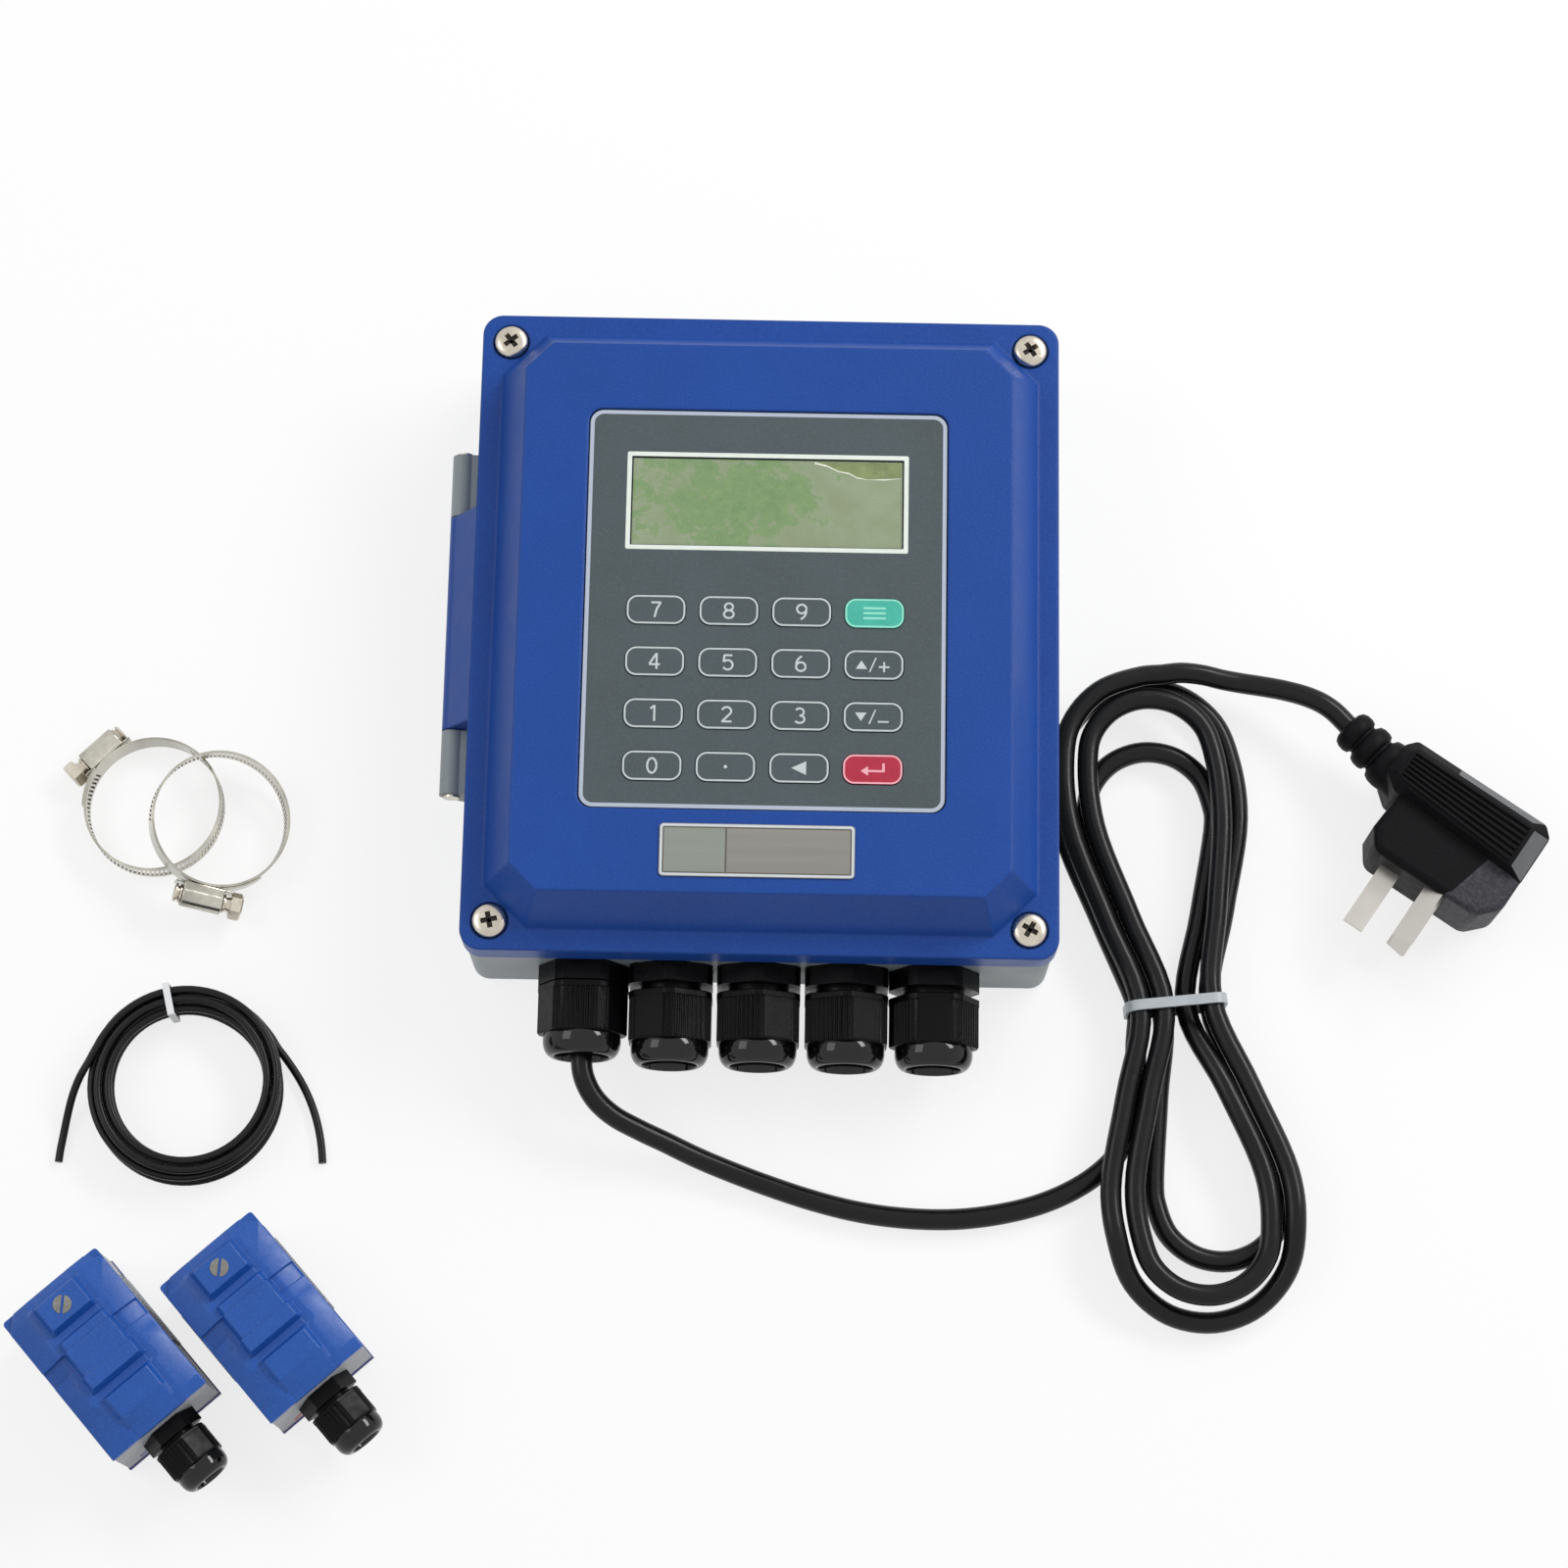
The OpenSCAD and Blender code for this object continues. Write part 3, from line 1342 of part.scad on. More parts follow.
module clamp_screw(i) {
    color([0.80, 0.79, 0.76]) at_housing(i) {
        translate([0, worm_len / 2 + worm_out / 2, 0]) bar(worm_r, worm_len + worm_out);
        translate([0, worm_len / 2 + worm_out / 2 + worm_head_t - sink, 0]) difference() {
            hex_bar(worm_head_af, 2 * worm_head_af, worm_head_t);
            translate([0, slot_depth, 0]) rotate([90, 0, 0])
                linear_extrude(2 * slot_depth) square([slot_w, 2 * worm_head_af], center = true);
        }
    }
}

rear_case();
case_gasket();
hinge_pin();
main_board();
board_screws();
board_components();
terminal_strip();
gland_bodies();
gland_nuts();
gland_seals();
gland_locknuts();
mains_wires();
mains_lead();
mains_hank();
mains_tail();
hank_tie();
plug_body();
plug_pins();
front_cover();
cover_screws();
keypad_overlay();
lcd_glass();
lcd_bezel();
display_board();
display_board_screws();
label_plate();
ribbon_cable();
for (i = [0:len(key_names) - 1])
    key(i);
transducer_body(0);  // transducer_body_a
transducer_body(1);  // transducer_body_b
transducer_cover(0);  // transducer_cover_a
transducer_cover(1);  // transducer_cover_b
transducer_base(0);  // transducer_base_a
transducer_base(1);  // transducer_base_b
transducer_gland_bodies();
transducer_gland_nuts();
transducer_screws();
clamp_bands();
clamp_housings();
clamp_screw(0);  // clamp_screw_1
clamp_screw(1);  // clamp_screw_2
signal_coil();
signal_cable_ends();
signal_tie();
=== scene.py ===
"""Looks of the clamp-on ultrasonic flow meter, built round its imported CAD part."""

from math import asin, atan2, cos, degrees, floor, hypot, pi, sin, tau

import bpy
import bmesh
from mathutils import Euler, Matrix, Vector


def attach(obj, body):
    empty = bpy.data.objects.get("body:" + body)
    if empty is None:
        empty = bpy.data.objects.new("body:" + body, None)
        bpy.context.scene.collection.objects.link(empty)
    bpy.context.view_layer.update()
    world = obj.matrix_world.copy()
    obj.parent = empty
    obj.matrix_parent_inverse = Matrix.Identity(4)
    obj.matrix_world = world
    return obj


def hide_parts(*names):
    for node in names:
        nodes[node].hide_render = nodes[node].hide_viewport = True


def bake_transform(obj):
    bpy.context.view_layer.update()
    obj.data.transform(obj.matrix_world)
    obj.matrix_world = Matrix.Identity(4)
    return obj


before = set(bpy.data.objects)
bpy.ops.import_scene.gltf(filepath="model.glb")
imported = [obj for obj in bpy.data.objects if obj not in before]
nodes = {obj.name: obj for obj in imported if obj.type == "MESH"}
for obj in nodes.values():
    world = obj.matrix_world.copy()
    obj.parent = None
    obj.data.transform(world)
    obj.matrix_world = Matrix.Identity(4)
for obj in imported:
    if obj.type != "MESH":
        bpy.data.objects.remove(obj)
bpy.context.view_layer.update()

MM = 0.001
RAD = pi / 180
HERE = Matrix()
SHARP_ANGLE = 32
SENSOR_TURN = -48
scene = bpy.context.scene


def put(name, data):
    """New object in the scene around a mesh, curve, lamp or camera."""
    obj = bpy.data.objects.new(name, data)
    scene.collection.objects.link(obj)
    return obj


# Camera at the photograph's viewing angle

CAMERA_PLACE = (7.23 * MM, -327 * MM, 1088.2 * MM)
CAMERA_TURN = (15.049 * RAD, -0.218 * RAD, 1.015 * RAD)

cam_data = bpy.data.cameras.new("camera")
cam_data.lens = 86.85
cam_data.sensor_width = 36
cam_data.clip_start = 0.02
cam_data.clip_end = 50
scene.camera = put("camera", cam_data)
scene.camera.location = CAMERA_PLACE
scene.camera.rotation_euler = Euler(CAMERA_TURN, "XYZ")


# Node trees; an input takes a plain value or another node's output

WHITE = (1, 1, 1, 1)
EDGE_SAMPLES = 6
looks = {}


def linear(*rgb):
    """Linear colour from the 0 to 255 values seen in the photograph."""
    return [c / 12.92 if c <= 0.04045 else ((c + 0.055) / 1.055) ** 2.4
            for c in (value / 255 for value in rgb)] + [1]


def scaled(color, share):
    """Colour made darker or lighter by a share."""
    return [min(1, c * share) for c in color[:3]] + [1]


class Nodes:
    """Node tree of a material or of the world."""

    def __init__(self, owner, end):
        owner.use_nodes = True
        self.tree = owner.node_tree
        self.tree.nodes.clear()
        self.end = self.node(end)

    def fill(self, sockets, values):
        """Set or link inputs; None leaves one alone."""
        for socket, value in zip(sockets, values):
            if isinstance(value, bpy.types.NodeSocket):
                self.tree.links.new(value, socket)
            elif value is not None:
                socket.default_value = value

    def node(self, kind, **inputs):
        """New node; an underscore in an input's name stands for a space."""
        n = self.tree.nodes.new("ShaderNode" + kind)
        self.fill([n.inputs[k.replace("_", " ")] for k in inputs], inputs.values())
        return n

    def math(self, how, *values):
        n = self.node("Math")
        n.operation = how
        self.fill(n.inputs, values)
        return n.outputs[0]

    def seen_ray(self):
        """1 for camera, glossy and transmission rays, 0 for all others."""
        path = self.node("LightPath").outputs
        seen = self.math("MAXIMUM", path["Is Camera Ray"], path["Is Glossy Ray"])
        return self.math("MAXIMUM", seen, path["Is Transmission Ray"])

    def finish(self, share, a, b):
        """End the tree with a mix of two shaders."""
        n = self.node("MixShader")
        self.fill(n.inputs, (share, a.outputs[0], b.outputs[0]))
        self.fill(self.end.inputs, n.outputs)


class Mat(Nodes):
    """Material kept in looks; its textures read the object's own coordinates."""

    SOCKETS = {
        "color": "Base Color", "rough": "Roughness", "metal": "Metallic",
        "coat": "Coat Weight", "coat_rough": "Coat Roughness",
        "spec": "Specular IOR Level", "normal": "Normal",
    }

    def __init__(self, name):
        looks[name] = bpy.data.materials.new(name)
        super().__init__(looks[name], "OutputMaterial")
        self.shader = self.node("BsdfPrincipled")
        self.fill([self.end.inputs[0]], [self.shader.outputs[0]])
        self.coords = self.node("TexCoord").outputs

    def set(self, **inputs):
        """Fill the shader's inputs under their short names."""
        sockets = [self.shader.inputs[self.SOCKETS[k]] for k in inputs]
        self.fill(sockets, inputs.values())

    def place(self, turn=(0, 0, 0), scale=(1, 1, 1), shift=(0, 0, 0)):
        return self.node(
            "Mapping", Vector=self.coords["Object"], Location=shift, Rotation=turn,
            Scale=scale).outputs[0]

    def axes(self, vector):
        return self.node("SeparateXYZ", Vector=vector).outputs

    def noise(self, scale, detail, rough, where=None):
        return self.node(
            "TexNoise", Vector=where or self.coords["Object"], Scale=scale,
            Detail=detail, Roughness=rough).outputs[0]

    def band(self, source, low, high, to_low=0, to_high=1):
        return self.node(
            "MapRange", Value=source, From_Min=low, From_Max=high, To_Min=to_low,
            To_Max=to_high).outputs[0]

    def mix(self, share, a, b):
        """Colour mix, on the sockets that the colour mode of the node uses."""
        n = self.node("Mix")
        n.data_type = "RGBA"
        self.fill((n.inputs[0], n.inputs[6], n.inputs[7]), (share, a, b))
        return n.outputs[2]

    def bump(self, height, depth, strength=1, under=None):
        return self.node(
            "Bump", Height=height, Distance=depth, Strength=strength,
            Normal=under).outputs[0]


def surface(name, rgb, rough, vary=0.06, broad=25, grain=900, depth=0.02,
            rough_vary=0.05, edge=0, speck=None, stretch=None, **sets):
    """Coloured surface with mottling, specks, grain bump and rounded edges."""
    m = Mat(name)
    color = linear(*rgb)
    where = m.place(scale=stretch) if stretch else None
    shade = m.band(m.noise(broad, 4, 0.6, where), 0.3, 0.7)
    tint = m.mix(shade, scaled(color, 1 - vary), scaled(color, 1 + vary))
    if speck:
        speck_scale, share, speck_rgb = speck
        spots = m.band(m.noise(speck_scale, 2, 0.5, where), 0.45, 0.75)
        tint = m.mix(m.math("MULTIPLY", spots, share), tint, linear(*speck_rgb))
    ragged = m.band(m.noise(broad * 4, 3, 0.5, where), 0.3, 0.7,
                    max(0.02, rough - rough_vary), min(1, rough + rough_vary))
    normal = None
    if edge:
        corner = m.node("Bevel", Radius=edge * MM)
        corner.samples = EDGE_SAMPLES
        normal = corner.outputs[0]
    if grain:
        normal = m.bump(m.noise(grain, 2, 0.5, where), depth * MM, 1, normal)
    m.set(color=tint, rough=ragged, normal=normal, **sets)


# Plain surfaces: name, colour, roughness and what differs from the usual

surface("cover_paint", (21, 67, 147), 0.4, broad=24, grain=1300, depth=0.07,
        edge=1.3, speck=(1500, 0.5, (38, 83, 162)), spec=0.27)
surface("case_paint", (136, 145, 149), 0.45, vary=0.05, broad=20, grain=1500,
        depth=0.05, edge=0.5, speck=(1800, 0.3, (152, 160, 163)))
surface("steel", (205, 200, 190), 0.28, vary=0.1, broad=220, grain=2200,
        depth=0.012, edge=0.2, metal=1)
surface("dark_steel", (128, 126, 120), 0.34, vary=0.2, broad=300, grain=2200,
        edge=0.2, metal=1)
surface("nickel", (198, 190, 176), 0.26, vary=0.12, broad=260, grain=1800, metal=1)
surface("stainless", (178, 175, 164), 0.18, vary=0.34, broad=90, grain=1500,
        stretch=(1, 1, 0.1), metal=1)
surface("pin_metal", (196, 192, 186), 0.3, rough_vary=0.02, grain=0, metal=1)
# Near black for the bars at the bottom of the screws' cross recesses: painted shade.
surface("recess_painted_shade", (38, 34, 30), 0.7)
surface("gasket_rubber", (30, 30, 32), 0.8, grain=1500, depth=0.05)
surface("seal_rubber", (20, 20, 21), 0.75, depth=0.04)
surface("nylon", (11, 11, 13), 0.3, vary=0.12, broad=90, grain=1300,
        rough_vary=0.08, edge=0.3, spec=0.1)
surface("nylon_dome", (9, 9, 11), 0.08, vary=0.1, broad=90, grain=500,
        depth=0.006, rough_vary=0.03, spec=0.38)
surface("cord_pvc", (19, 19, 21), 0.27, vary=0.14, broad=60, grain=800,
        rough_vary=0.06, spec=0.21)
surface("plug_pvc", (14, 14, 16), 0.5, vary=0.16, broad=70, grain=1400,
        depth=0.07, edge=0.4, spec=0.08, speck=(1500, 0.3, (27, 27, 31)))
# Light grey for the plug's sloping end facet and back bevel: painted light on facets that
# face the lamp.
surface("plug_facet_painted_light", (96, 97, 99), 0.5, vary=0.14, broad=160, grain=1400,
        depth=0.05, spec=0.3)
surface("plug_skirt", (38, 38, 44), 0.55, vary=0.22, broad=200, depth=0.12,
        spec=0.3, speck=(1100, 0.6, (78, 78, 88)))
surface("tie_plastic", (176, 182, 186), 0.38, vary=0.07, broad=200, depth=0.03,
        edge=0.2)
surface("white_tie", (226, 228, 230), 0.4, vary=0.05, broad=200, grain=0)
surface("sensor_grey", (166, 169, 174), 0.52, vary=0.05, broad=60, grain=1700,
        depth=0.05, edge=0.5)
surface("sensor_blue", (25, 79, 162), 0.33, broad=80, edge=0.35, spec=0.4,
        speck=(1600, 0.4, (48, 104, 190)))
surface("sensor_face", (22, 32, 118), 0.45, vary=0.08, broad=80, edge=0.3)
surface("mark_blue", (30, 40, 150), 0.4, vary=0.04, grain=0)
surface("mark_red", (178, 30, 40), 0.4, vary=0.04, grain=0)
surface("overlay_film", (70, 80, 84), 0.46, vary=0.08, broad=28, grain=1600,
        depth=0.04, speck=(1300, 0.45, (86, 95, 101)), spec=0.35)
# Bright strip along the film's torn edge: painted highlight.
surface("film_edge_painted_highlight", (226, 232, 214), 0.3, vary=0.1, broad=500, grain=700, depth=0.2)
surface("film_dull", (124, 138, 92), 0.35, vary=0.18, broad=240, grain=500, depth=0.2)
surface("key_green", (64, 177, 158), 0.4, vary=0.08, broad=300, grain=1200)
surface("key_red", (172, 28, 58), 0.4, vary=0.08, broad=300, grain=1200)
surface("key_print_green", (150, 226, 204), 0.45, vary=0.04, grain=0)
surface("key_print_red", (240, 176, 186), 0.45, vary=0.04, grain=0)
surface("print_white", (196, 204, 206), 0.5, vary=0.05, broad=400, grain=0)
surface("border_print", (178, 187, 202), 0.4, vary=0.04, broad=60, grain=0)
surface("frame_print", (226, 234, 226), 0.5, vary=0.04, broad=300, grain=0)
surface("plate_metal", (136, 134, 128), 0.36, vary=0.1, broad=60, depth=0.015,
        stretch=(0.05, 1, 1), metal=0.5)
surface("plate_pale", (137, 143, 134), 0.36, vary=0.08, broad=80, depth=0.01,
        stretch=(0.05, 1, 1), metal=0.5)
surface("plate_line", (206, 211, 214), 0.35, vary=0.05, broad=200, grain=0, metal=0.2)
surface("label_ink", (88, 82, 74), 0.5, grain=0)
surface("bezel_metal", (150, 152, 154), 0.35, grain=1200, metal=0.9)
surface("module_black", (30, 30, 32), 0.4, grain=1500, depth=0.03, edge=0.4)
surface("relay_white", (222, 220, 210), 0.4, grain=0, edge=0.4)
surface("can_blue", (30, 36, 84), 0.3, grain=0, coat=0.3)
surface("terminal_green", (38, 122, 66), 0.4, vary=0.08, grain=1200, depth=0.03, edge=0.3)
surface("sheath_black", (24, 24, 26), 0.4, grain=800)
WIRES = {"brown": (112, 64, 34), "blue": (36, 70, 178), "green": (70, 150, 60)}
for name, rgb in WIRES.items():
    surface("wire_" + name, rgb, 0.4, vary=0.05, grain=500)

# Display glass: pale olive with the green blotches of a lifting film

film_shift, film_half = (0.0105, -0.0345, 0), (0.029, 0.017)
m = Mat("lcd")
broad = m.noise(95, 5, 0.62)
fine = m.noise(430, 5, 0.7)
split = m.axes(m.place(shift=film_shift))
reach = m.math("ADD", *(m.math("POWER", m.math("DIVIDE", split[i], half), 2)
                        for i, half in enumerate(film_half)))
inside = m.band(reach, 0.1, 1.5, 0.17, -0.17)
spots = m.math("ADD", m.math("MULTIPLY", fine, 0.8), m.math("MULTIPLY", broad, 1.2))
blotch = m.band(m.math("ADD", spots, inside), 0.98, 1.08)
pale = m.mix(m.band(broad, 0.35, 0.65), linear(134, 147, 112), linear(146, 160, 130))
green = m.mix(m.band(fine, 0.35, 0.7), linear(104, 138, 86), linear(126, 154, 102))
m.set(color=m.mix(blotch, pale, green), rough=0.16, coat=0.5, coat_rough=0.08,
      normal=m.bump(fine, 0.03 * MM, 0.4))

# Raised diamond mesh of a transducer's grip pad, with painted shade in the hollows between
# the diamonds

slope, pitch = 0.62, 3.9
m = Mat("grip_pad")
split = m.axes(m.place(turn=(0, 0, -SENSOR_TURN * RAD), scale=(1 / MM,) * 3))
waves = []
for sign in (1, -1):
    slant = m.math("MULTIPLY_ADD", split["Z"], slope * sign, split["X"])
    waves.append(m.math("ABSOLUTE", m.math("SINE", m.math("MULTIPLY", slant, pitch))))
net = m.math("MULTIPLY", *waves)
# Pale on the raised diamonds, dark in the hollows: painted shade.
tint = m.mix(m.band(net, 0.22, 0.42), linear(206, 209, 212), linear(112, 117, 124))
m.set(color=tint, rough=0.5, normal=m.bump(m.band(net, 0.1, 0.5, 1, 0), 0.35 * MM))

# Circuit board: green lacquer over paler tracks and small tinned pads

m = Mat("board_tracks")
tracks = m.node(
    "TexBrick", Vector=m.coords["Object"], Scale=110, Mortar_Size=0.03,
    Color1=linear(20, 88, 50), Color2=linear(26, 98, 56), Mortar=linear(52, 132, 80))
dots = m.node("TexVoronoi", Vector=m.coords["Object"], Scale=150)
spot = m.band(dots.outputs["Distance"], 0.1, 0.13, 1, 0)
m.set(color=m.mix(spot, tracks.outputs[0], linear(196, 198, 190)), rough=0.3, coat=0.3)

# Flat cable: ridged light grey cores with one red edge core; the crests are painted lighter
# and the grooves darker, as painted light and shade

m = Mat("ribbon")
across = m.axes(m.coords["UV"])["X"]
lit = m.band(m.math("SINE", m.math("MULTIPLY", across, 100)), -1, 1)
tint = m.mix(lit, linear(130, 132, 136), linear(190, 192, 196))
tint = m.mix(m.band(across, 0.955, 0.965), tint, linear(170, 50, 50))
m.set(color=tint, rough=0.45, normal=m.bump(lit, 0.3 * MM))

# Looks of the CAD nodes by how their names begin; the first match counts

DRESS = {
    "rear_case": "case_paint", "front_cover": "cover_paint",
    "case_gasket": "gasket_rubber", "hinge_pin": "steel", "main_board": "board_tracks",
    "board_screws": "steel", "display_board_screws": "steel",
    "display_board": "board_tracks", "terminal_strip": "terminal_green",
    "gland_seals": "seal_rubber", "hank_tie": "tie_plastic", "plug_pins": "pin_metal",
    "lcd_glass": "lcd", "lcd_bezel": "bezel_metal", "label_plate": "plate_metal",
    "transducer_body": "sensor_grey", "transducer_base": "sensor_face",
    "transducer_screws": "dark_steel", "signal_tie": "white_tie",
    "key_menu": "key_green", "key_enter": "key_red", "key": "overlay_film", "": "nylon",
}


def soften(me, angle=SHARP_ANGLE):
    """Smooth shading with steeper edges kept sharp; at 0 all faces stay flat."""
    if angle:
        me.shade_smooth()
        me.set_sharp_from_angle(angle=angle * RAD)


for name, obj in nodes.items():
    look = next(DRESS[start] for start in DRESS if name.startswith(start))
    obj.data.materials.clear()
    obj.data.materials.append(looks[look])
    soften(obj.data)


# Mesh helpers; every length below is in millimetres

MERGE = 1e-7
CARVE_MERGE = 1e-4


def mesh(name, verts, faces, unit=MM, merge=MERGE):
    """Mesh with doubled points merged and its faces turned outward."""
    me = bpy.data.meshes.new(name)
    me.from_pydata([[c * unit for c in v] for v in verts], [], faces)
    me.validate()
    bm = bmesh.new()
    bm.from_mesh(me)
    bmesh.ops.remove_doubles(bm, verts=bm.verts, dist=merge)
    bmesh.ops.recalc_face_normals(bm, faces=bm.faces)
    bm.to_mesh(me)
    bm.free()
    return me


def carry(obj, body, replaces):
    """Say which body a piece rides on and the nodes it stands for."""
    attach(obj, body)
    if replaces:
        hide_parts(*replaces)
    return obj


def circle(r, z, n):
    turns = [tau * k / n for k in range(n)]
    return [(r * cos(a), r * sin(a), z) for a in turns]


class Build:
    """Collects vertices and faces of several shapes into one mesh."""

    def __init__(self):
        self.verts, self.faces = [], []

    def add(self, verts, faces, m=HERE):
        base = len(self.verts)
        self.verts += [m @ Vector(v) for v in verts]
        self.faces += [[i + base for i in f] for f in faces]
        return self

    def prism(self, outline, z0, z1, m=HERE, top=None):
        """Solid between an outline at z0 and another, or the same, at z1."""
        n = len(outline)
        verts = [(x, y, z0) for x, y in outline] + [(x, y, z1) for x, y in top or outline]
        faces = [list(range(n))[::-1], list(range(n, 2 * n))]
        faces += [[i, (i + 1) % n, n + (i + 1) % n, n + i] for i in range(n)]
        return self.add(verts, faces, m)

    def block(self, x0, x1, y0, y1, z0, z1, m=HERE):
        return self.prism([(x0, y0), (x1, y0), (x1, y1), (x0, y1)], z0, z1, m)

    def ring(self, outer, inner, z0, z1, m=HERE):
        """Flat frame between two outlines with the same count of points."""
        rows = ((outer, z0), (outer, z1), (inner, z1), (inner, z0))
        return self.tube([[(x, y, z) for x, y in row] for row, z in rows], m, True)

    def tube(self, rows, m=HERE, closed=False):
        """Skin over successive rows of points, closed in a round or capped."""
        n, count = len(rows[0]), len(rows)
        faces = []
        for i in range(count if closed else count - 1):
            a, b = i * n, (i + 1) % count * n
            faces += [[a + k, a + (k + 1) % n, b + (k + 1) % n, b + k] for k in range(n)]
        if not closed:
            faces += [list(range(n))[::-1], [(count - 1) * n + k for k in range(n)]]
        return self.add([v for row in rows for v in row], faces, m)

    def lathe(self, profile, n, m=HERE, closed=False):
        """Profile of (radius, height) turned about Z."""
        return self.tube([circle(r, h, n) for r, h in profile], m, closed)

    def make(self, name, look, body="case", slot=None, replaces=(), smooth=SHARP_ANGLE,
             bevel=None):
        """Piece in the shared frame; bevel is width, segments and least angle."""
        me = mesh(name, self.verts, self.faces)
        me.materials.append(looks[look])
        soften(me, smooth)
        obj = carry(put(name, me), body, replaces)
        if bevel:
            width, segments, angle = bevel
            mod = obj.modifiers.new("edges", "BEVEL")
            mod.width = width * MM
            mod.segments = segments
            mod.limit_method = "ANGLE"
            mod.angle_limit = angle * RAD


def plan_box(hx, hy):
    """Corners of a rectangle from its half lengths."""
    return [(-hx, -hy), (hx, -hy), (hx, hy), (-hx, hy)]


def arc(cx, cy, rx, ry, start, end, n=12):
    """Points of an elliptic arc, in degrees."""
    turns = [start + (end - start) * k / n for k in range(n + 1)]
    return [(cx + rx * cos(t * RAD), cy + ry * sin(t * RAD)) for t in turns]


def rounded(w, h, r, cx=0, cy=0, steps=8):
    """Corner points of a rectangle with round corners."""
    points = []
    for sx, sy, a in ((1, 1, 0), (-1, 1, 90), (-1, -1, 180), (1, -1, 270)):
        x, y = cx + sx * (w / 2 - r), cy + sy * (h / 2 - r)
        points += arc(x, y, r, r, a, a + 90, steps)
    return points


def rotate(axis, degrees):
    return Matrix.Rotation(degrees * RAD, 4, axis)


def shift(x, y, z):
    return Matrix.Translation((x, y, z))


# Mains lead: one cord from the first gland, through the hank, to the plug

CORD_D = 6.2
CORD_R = CORD_D / 2
STRAND_STEP = 7
FOLD_R = 18.8
BIG_FOLD_R = FOLD_R + STRAND_STEP
LEAD_ROUTE = [
    (-50.6, -115.9, 18), (-50.6, -121, 18), (-49.8, -127, 17.6),
    (-46.6, -133, 16), (-41.2, -137.6, 13.6), (-34, -141, 10.8),
    (-26, -144.2, 8), (-17.5, -147.8, 5.6), (-8, -151.4, 4),
    (4, -155.6, 3.3), (17, -159.6, 3.1), (30, -162.6, 3.1),
    (44, -164.2, 3.1), (58, -164.2, 3.1), (70, -162.6, 3.1),
    (81, -159.8, 3.1), (90.4, -155.8, 3.1), (98, -151, 3.2),
    (104, -145.2, 3.4), (107.6, -138.1, 3.6), (109.4, -130.1, 3.9),
    (110, -121.6, 4.1),
]
TAIL_ROUTE = [
    (130, -1.3, 10.5), (136, -2.5, 9.9), (142, -3.5, 9.8), (148, -4.6, 10.6),
    (154, -6.1, 12), (160, -8.2, 13.6), (164.6, -10.5, 14.6),
]
PLUG_AT = (184, -30.4)
PLUG_TURN = -34
PLUG_Z = 15
BOOT_TURN = -12
BOOT_AT = 3
BOOT_BACK = 20
boot_way = (PLUG_TURN + BOOT_TURN) * RAD
boot_dir = Vector((cos(boot_way), sin(boot_way), 0))
boot_start = Vector((PLUG_AT[0] + BOOT_AT * cos(PLUG_TURN * RAD),
                     PLUG_AT[1] + BOOT_AT * sin(PLUG_TURN * RAD), PLUG_Z))
boot_start -= BOOT_BACK * boot_dir
WAIST = (121.3, -101.3)
HANK_TILT = 6.5
LAYER_H = 6.8
HANK_Z = 1 + CORD_R
RUN_STEPS = 3
ARC_STEPS = 6
HALF_STEPS = 12
UPPER_SPREAD = 55
LOWER_SPREAD = 52

# Half loops: first and last column, way, fold radius, lean, reach, layers, dips

HALF_LOOPS = [
    (-1.5, 1.5, 1, BIG_FOLD_R, 0, 98, 0, 0, 0),
    (1.5, -0.5, -1, FOLD_R, 6.5, 75, 0, 0, 0),
    (-0.5, 0.5, 1, FOLD_R, 0, 78, 0, 0, 0),
    (0.5, -0.5, -1, FOLD_R, 0.5, 92 - STRAND_STEP, 0, 1, 0),
    (-0.5, 1.5, 1, FOLD_R, 1.5, 99.5 - STRAND_STEP, 1, 1, 0),
    (1.5, -1.5, -1, BIG_FOLD_R, 0.5, 92, 1, 1, 1),
    (-1.5, 1.5, 1, BIG_FOLD_R, 1.5, 99.5, 1, 1, 0),
]


def ease(t):
    return (1 - cos(pi * min(1, max(0, t)))) / 2


def half_point(h, k):
    """Point of one half loop of the hank, as in the part's source."""
    start, end, way, radius, lean, reach, from_layer, to_layer, dips = h
    run = reach - radius
    side = -1 if start < 0 else 1
    on_arc = RUN_STEPS <= k <= RUN_STEPS + ARC_STEPS
    back = k > RUN_STEPS + ARC_STEPS
    j = HALF_STEPS - k if back else k
    spread = UPPER_SPREAD if way > 0 else LOWER_SPREAD
    share = min(1, j / (RUN_STEPS - 1))
    a = pi * (k - RUN_STEPS) / ARC_STEPS
    edge = lean + (-side if back else side) * radius
    col = (end if back else start) * STRAND_STEP
    if on_arc:
        u, v = lean + side * radius * cos(a), run + radius * sin(a)
    else:
        u, v = col + (edge - col) * share, spread * share
    climb = from_layer + (to_layer - from_layer) * (1 if back or on_arc else min(1, k))
    dip = dips * ease((v - run) / radius)
    return Vector((u, way * v, HANK_Z + (climb - dip) * LAYER_H))


def hank_place(p):
    c, s = cos(HANK_TILT * RAD), sin(HANK_TILT * RAD)
    return Vector((WAIST[0] + p.x * c - p.y * s, WAIST[1] + p.x * s + p.y * c, p.z))


